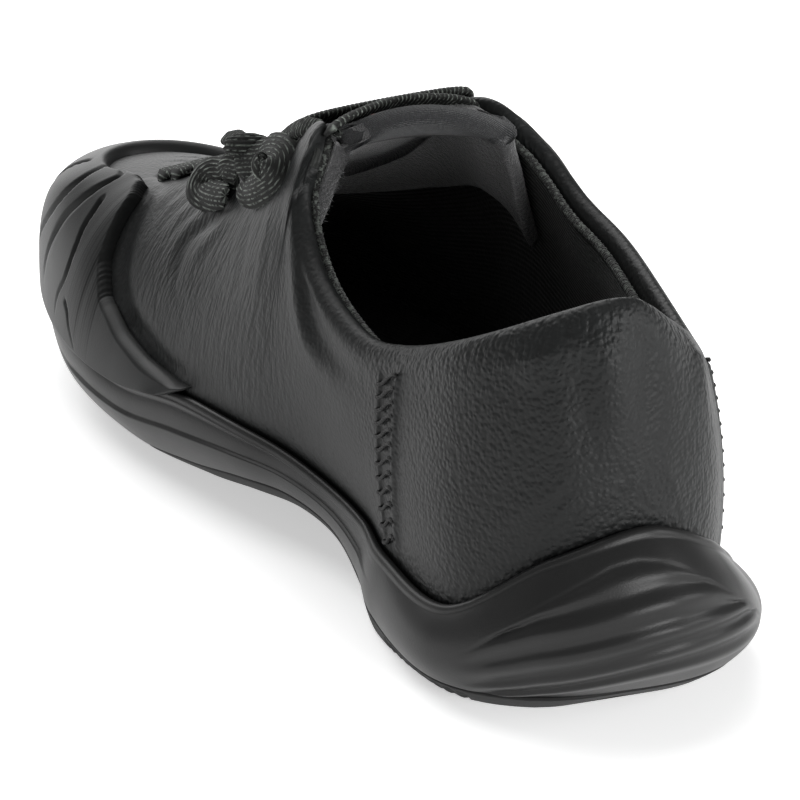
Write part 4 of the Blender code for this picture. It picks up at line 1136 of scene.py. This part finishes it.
def cap_range(places):
    """Covers at which the toe cap starts on the sole and ends at its top edge."""
    low = place_of_height(places, read(SIDES, places)[:, 0:1] - 1.0)
    top = np.interp(places, CAP_EDGE[:, 0], CAP_EDGE[:, 1])[:, None]
    return low, np.maximum(top, low + 0.04)


class SNEAKER_OT_toe_cap(bpy.types.Operator):
    """Rubber toe cap with its sweeping grooves and rounded edge"""

    bl_idname = "sneaker.toe_cap"
    bl_label = "Toe cap"

    def execute(self, context):
        sizes = context.scene.sneaker_sizes
        first, last = CAP_EDGE[0, 0], CAP_EDGE[-1, 0]
        places = np.arange(first, last, 1 / 26)
        extra = np.arange(9.4, 10.6, 1 / 60)
        places = np.unique(np.round(np.concatenate([places, extra, [last]]), 4))
        low, top = cap_range(places)
        for _ in range(3):
            top[1:-1] = (top[:-2] + 2 * top[1:-1] + top[2:]) / 4
        share = np.linspace(0, 1, 96)
        covers = low + (top - low) * share[None, :]
        slant = 0.3 * (1 - share) * (1 - smooth_step(places, first, first + 0.9))[:, None]
        slant = slant - 0.3 * (1 - share) * smooth_step(places, last - 0.9, last)[:, None]
        rows = [(places + slant[:, k], covers[:, k : k + 1]) for k in range(len(share))]
        plain = np.concatenate([outer_face(*row) for row in rows], axis=1)
        normal = np.concatenate([face_normals(*row) for row in rows], axis=1)
        thick = 4.8 - 1.9 * share[None, :] + 0 * covers
        flat = (plain + normal * thick[:, :, None]).reshape(-1, 3)
        sink = np.zeros(len(flat))
        for run in CAP_GROOVES:
            line = face_points([(r, c, 3.6) for r, c in run_points(run, 0.03)])
            gap, where = distance_to_run(flat, line)
            cut = 1 - smooth_step(gap, 0.35 * sizes.groove_width, 1.5 * sizes.groove_width)
            sink = np.maximum(sink, sizes.groove_depth * cut * soft_ends(where, -0.02, 0.04))
        thick = thick - sink.reshape(thick.shape)
        tall = np.linalg.norm(np.diff(plain, axis=1), axis=2).sum(axis=1)[:, None]
        wing = np.minimum(places - first, last - places)[:, None] * 26
        edges = quarter_round((1 - share[None, :]) * tall, 2.2) * quarter_round(wing, 3.0)
        thick = 0.05 + (thick - 0.05) * edges
        outer = plain + normal * thick[:, :, None]
        inner = plain[:, ::-8] - normal[:, ::-8] * 0.35
        points = np.concatenate([outer, inner, outer[:, :1]], axis=1)
        points[0], points[-1] = points[0].mean(axis=0), points[-1].mean(axis=0)
        cap = grid_piece("toe_cap_rubber", points, "bumper_rubber", join_rows=True)
        put_on(cap, "cap_rubber", "toe_cap")
        return {"FINISHED"}


# Distance between the tread's lugs, mm
LUG_PITCH = 3.1
# Slanted nicks of the tread at the ball of the foot, in ribs
SIDE_NICKS = [8.7, 8.85, 9.0, 9.15]


def sole_places():
    """Columns round the sole, closer together at the heel and at the medial nicks."""
    spans = ((0, 3, 28), (3, 8.5, 14), (8.5, 9.5, 40), (9.5, TOE, 14))
    return both_sides(np.concatenate([np.arange(low, high, 1 / count) for low, high, count in spans]))


def spine(ring):
    """The middle line of a ring, each point between a medial and a lateral one."""
    return (ring + ring[::-1]) / 2


def capped(rows, dip=0.0):
    """Rings closed by their middle lines at both ends, the last one lower by dip."""
    return np.stack([spine(rows[0]), *rows, spine(rows[-1]) - UP * dip], axis=1)


# Lower edge of the band under the lip round the heel: place, medial ones above 0, and share of the height.
BAND_EDGE = np.array([
    (-1.8, 0.5), (-1.09, 0.711), (-0.91, 0.755), (-0.56, 0.83), (-0.29, 0.887), (-0.04, 0.925), (0.19, 0.943),
    (0.44, 0.943), (0.74, 0.906), (1.29, 0.786), (1.64, 0.667), (2.0, 0.5),
])
# Slanted flutes below it: share of the height at the heel, and fall per rib toward the medial side.
FLUTES = [(0.80, 0.045), (0.645, 0.07), (0.5, 0.11), (0.36, 0.1), (0.22, 0.06)]
FLUTE_DEPTH = 1.0


def flute_sink(places, shares):
    """Depth of the heel's flutes, each one cut in steeply at its top and running out below."""
    signed = np.where(places > TOE, places - RIB_COUNT, places)[:, None]
    edge = np.interp(signed[:, 0], *BAND_EDGE.T)[:, None]
    lines = [edge] + [np.minimum(at - fall * signed, edge) for at, fall in FLUTES] + [0 * edge - 0.25]
    sink = np.zeros_like(shares)
    for above, below in zip(lines, lines[1:]):
        u = (above - shares) / np.maximum(above - below, 1e-4)
        wave = 1 - smooth_step(u, 0, 0.4) + smooth_step(u, 0.45, 1)
        tall = np.clip((above - below) / 0.09, 0, 1)
        sink = np.where((u >= 0) & (u < 1), wave * tall, sink)
    ends = soft_span(signed, -1.7, -1.0, 1.35, 1.75)
    return FLUTE_DEPTH * sink * ends * smooth_step(edge - shares, 0, 0.04)


class SNEAKER_OT_sole(bpy.types.Operator):
    """Cup sole with its lip and heel flutes, the tread below it and the foot bed inside"""

    bl_idname = "sneaker.sole"
    bl_label = "Sole"

    def execute(self, context):
        places = sole_places()
        self.add_midsole(places)
        self.add_outsole(places)
        self.add_foot_bed(places)
        return {"FINISHED"}

    def add_midsole(self, places):
        side = read(SIDES, places)
        foot_z = read(RIBS, places)[:, 2]
        low = share_of_height(places, TREAD_TALL + 0.2)[:, None]
        t = np.linspace(0, 1, 92)[None, :]
        shares = low + (1 - low) * t
        sink = flute_sink(places, shares)
        waist = soft_span(from_heel(places), 3.0, 4.0, 9.6, 10.6)
        sink = sink + 0.8 * soft_span(t, 0.52, 0.6, 0.9, 0.98) * waist[:, None]
        wall = sole_side(places, shares) - outward(places)[:, None, :] * sink[:, :, None]
        rows = list(wall.transpose(1, 0, 2))
        lip_outer, lip_inner = wall[:, -1], ring_at(places, side[:, 0], SOLE_GAP)
        lip_inner[:, 2] = lip_outer[:, 2]
        middle, reach = (lip_outer + lip_inner) / 2, (lip_outer - lip_inner) / 2
        for angle in ROLL_TURNS:
            rows.append(middle + reach * math.cos(angle) + UP * LIP_ROUND * math.sin(angle))
        for part in (0.8, 0.5, 0):
            height = foot_z + (side[:, 0] - LIP_UNDER - foot_z) * part
            ring = ring_at(places, height, SOLE_GAP)
            ring[:, 2] = height - (0.3 if part == 0 else 0)
            rows.append(ring)
        midsole = grid_piece("cup_sole", capped(rows), "cup_rubber", join_columns=True)
        put_on(midsole, "sole_rubber", "midsole")

    def add_outsole(self, places):
        high = share_of_height(places, TREAD_TALL)[:, None]
        t = np.linspace(0, 1, 18)[None, :]
        wall = sole_side(places, high * t)
        inset = 0.9 * smooth_step(t, 0.86, 1.0)
        # Lugs at the edge of the tread, and slanted nicks at the ball of the foot
        walked = walk(wall[:, 0, :2])[:, None]
        medial = soft_span(places, 1.7, 1.9, 2.7, 2.9)
        lugs = smooth_step(np.sin(2 * np.pi * (walked + 2.0 * t) / LUG_PITCH), 0.0, 0.6)
        lugs = lugs * (1 - smooth_step(t, 0.6, 0.8))
        nicks = sum(np.exp(-(((places[:, None] - place - 0.1 * t) * 31) ** 4)) for place in SIDE_NICKS)
        inset = inset + 0.9 * lugs * medial[:, None] + 1.3 * nicks * smooth_step(t, 0.1, 0.3)
        wall = wall - outward(places)[:, None, :] * inset[:, :, None]
        points = capped(list(wall.transpose(1, 0, 2)))
        put_on(grid_piece("tread", points, "outsole_rubber", join_columns=True), "tread_rubber", "outsole")

    def add_foot_bed(self, places):
        foot_z = read(RIBS, places)[:, 2]
        rows = []
        for lift, gap in ((0.3, 2.8), (2.5, 2.7), (4.0, 3.4)):
            ring = ring_at(places, foot_z + lift, -gap)
            ring[:, 2] = foot_z + lift
            rows.append(ring)
        points = capped(rows, 1.2)
        bed = grid_piece("foot_bed", points, "foot_bed_cloth", points[:, :, :2], join_columns=True)
        put_on(bed, "foot_bed", "insole")


class SNEAKER_OT_tongue(bpy.types.Operator):
    """Padded tongue with its fleece, edge tape, piping and stray fibres"""

    bl_idname = "sneaker.tongue"
    bl_label = "Tongue"

    def execute(self, context):
        sizes = context.scene.sneaker_sizes
        medial = np.linspace(10.7, 6.7, 90)
        lateral = medial - 0.45 * smooth_step(-medial, -8, -6.7)
        flanks = np.interp(medial, [6.7, 7, 8, 10.8], [0.6, 0.66, 0.78, 0.9])
        sections, walls = [], []
        for near, far, flank in zip(medial, lateral, flanks):
            covers = np.linspace(flank, 1, 26)
            section, t = throat_section(near, far, covers, TONGUE_ARCH)
            wall, far_wall = wall_thickness([near], covers)[0], wall_thickness([RIB_COUNT - far], covers)[0]
            raised = soft_ends(t, 0, 0.2) * smooth_step(near, 6.95, 7.5)
            over = (wall[-1] + (far_wall[-1] - wall[-1]) * t) * (1 - raised) - 0.7 * raised
            sections.append(section)
            walls.append(np.concatenate([wall, over, far_wall[::-1]]))
        sections, walls = np.array(sections), np.array(walls)
        normal = unit(np.cross(np.gradient(sections, axis=1), np.gradient(sections, axis=0)))
        normal *= np.sign(normal[:, normal.shape[1] // 2, 2].mean())
        top = sections - normal * (walls + 1.2)[:, :, None]
        share = np.linspace(0, 1, top.shape[1])[None, :]
        end = np.linspace(0, 1, top.shape[0])[:, None]
        edge = np.minimum(np.minimum(share, 1 - share) * 60, np.minimum(end * 90, (1 - end) * 270 + 1))
        half = sizes.tongue / 2
        middle = top - normal * half
        thick = half * (0.25 + 0.75 * quarter_round(edge, 3.0))
        outer = middle + normal * thick[:, :, None]
        inner = middle - normal * thick[:, :, None]
        # The first and the last row lie flat in the middle, so that the ends close.
        rims = [np.concatenate([row, row[::-1], row[:1]])[None] for row in (middle[0], middle[-1])]
        points = np.concatenate([outer, inner[:, ::-1], outer[:, :1]], axis=1)
        points = np.concatenate([rims[0], points, rims[1]], axis=0)
        tongue = grid_piece("tongue_pad", points, "brushed_fleece", join_rows=True)
        put_on(tongue, "tongue_fleece", "tongue")
        self.add_tape(middle, normal, thick)
        self.add_fuzz(middle, normal, thick)
        return {"FINISHED"}

    def add_tape(self, middle, normal, thick):
        """Woven tape folded over the tongue's top edge, and the thin piping below it."""
        reach = 6
        back = np.arange(middle.shape[0] - reach, middle.shape[0])
        columns = np.arange(26, middle.shape[1] - 24)
        mid, nor = middle[np.ix_(back, columns)], normal[np.ix_(back, columns)]
        tall = thick[np.ix_(back, columns)][:, :, None] + 0.8
        side = np.linspace(0, 1, len(columns))
        tall = tall + 0.7 * (1 - smooth_step(np.minimum(side, 1 - side), 0, 0.25))[None, :, None]
        beyond = mid[-1] + (mid[-1] - mid[-3]) * 0.6
        rows = [mid[k] + nor[k] * tall[k] for k in range(reach)]
        rows += [beyond + nor[-1] * tall[-1] * 0.7, beyond + (mid[-1] - mid[-3]) * 0.25,
                 beyond - nor[-1] * tall[-1] * 0.7]
        rows += [mid[k] - nor[k] * tall[k] for k in reversed(range(reach))]
        rows += [mid[0] - nor[0] * (tall[0] - 0.8), mid[4], mid[0] + nor[0] * (tall[0] - 0.8), rows[0]]
        points = np.stack(rows, axis=1)
        points[0], points[-1] = points[0].mean(axis=0), points[-1].mean(axis=0)
        uv = spread(mean_rise(points)[None, :], walk(mid[-1])[:, None])
        put_on(grid_piece("tongue_tape", points, "woven_tape", uv, join_rows=True), "tongue_fleece")
        path = run_points((mid[2] + nor[2] * (tall[2] + 0.1))[8:19:2], 0.8)
        put_on(round_tube("tongue_piping", path, 0.42, "piping_cord"), "tongue_fleece")

    def add_fuzz(self, middle, normal, thick):
        """Stray fibres of the fleece, on its inner face and along its edges."""
        count = bpy.context.scene.sneaker_sizes.fuzz
        chance = np.random.default_rng(7)
        rows, columns = middle.shape[:2]
        fibres = []
        for _ in range(count):
            i = int(chance.integers(rows - 5, rows))
            side = chance.random() ** 1.4 * 22
            j = int(side) if chance.random() < 0.5 else columns - 1 - int(side)
            foot = middle[i, j] - normal[i, j] * thick[i, j] * chance.uniform(-0.6, 0.9)
            lean = unit(-0.8 * normal[i, j] + 0.8 * chance.normal(size=3))
            reach = chance.uniform(0.7, 1.9)
            curl = 0.35 * chance.normal(size=3)
            path = np.array([foot + lean * reach * t + curl * t * t for t in (0, 0.34, 0.67, 1.0)])
            fibres.append(tube_points(path, np.array([0.07, 0.06, 0.05, 0.02]), sides=3))
        points = np.concatenate(fibres, axis=0)
        faces = []
        for f in range(count):
            for i in range(3):
                for j in range(3):
                    a = (f * 4 + i) * 4 + j
                    faces.append((a, a + 1, a + 5, a + 4))
        mesh = bpy.data.meshes.new("tongue_fuzz")
        mesh.from_pydata(((points.reshape(-1, 3) - ORIGIN) * MM).tolist(), [], faces)
        fuzz = bpy.data.objects.new("tongue_fuzz", mesh)
        bpy.context.scene.collection.objects.link(fuzz)
        close_skin(fuzz)
        mesh.materials.append(finish("brushed_fleece"))
        put_on(fuzz, "tongue_fleece")


class SNEAKER_PT_panel(bpy.types.Panel):
    """Lists the pieces of the sneaker"""

    bl_idname = "SNEAKER_PT_panel"
    bl_label = "Sneaker"
    bl_space_type = "VIEW_3D"
    bl_region_type = "UI"
    bl_category = "Sneaker"

    def draw(self, context):
        for made in OPERATORS:
            self.layout.operator(made.bl_idname)
        for group in (context.scene.sneaker_sizes, context.scene.sneaker_colours):
            for name in group.bl_rna.properties.keys():
                if name not in ("rna_type", "name"):
                    self.layout.prop(group, name)


OPERATORS = (
    SNEAKER_OT_stage, SNEAKER_OT_bow, SNEAKER_OT_lace_bars, SNEAKER_OT_upper, SNEAKER_OT_toe_cap,
    SNEAKER_OT_sole, SNEAKER_OT_tongue,
)
CLASSES = (SneakerSizes, SneakerColours, *OPERATORS, SNEAKER_PT_panel)


def register():
    for made in CLASSES:
        bpy.utils.register_class(made)
    bpy.types.Scene.sneaker_sizes = PointerProperty(type=SneakerSizes)
    bpy.types.Scene.sneaker_colours = PointerProperty(type=SneakerColours)


def unregister():
    del bpy.types.Scene.sneaker_sizes
    del bpy.types.Scene.sneaker_colours
    for made in reversed(CLASSES):
        bpy.utils.unregister_class(made)


def main():
    register()
    bpy.ops.sneaker.stage()
    bpy.ops.sneaker.bow()
    bpy.ops.sneaker.lace_bars()
    bpy.ops.sneaker.upper()
    bpy.ops.sneaker.toe_cap()
    bpy.ops.sneaker.sole()
    bpy.ops.sneaker.tongue()


if __name__ == "__main__":
    main()
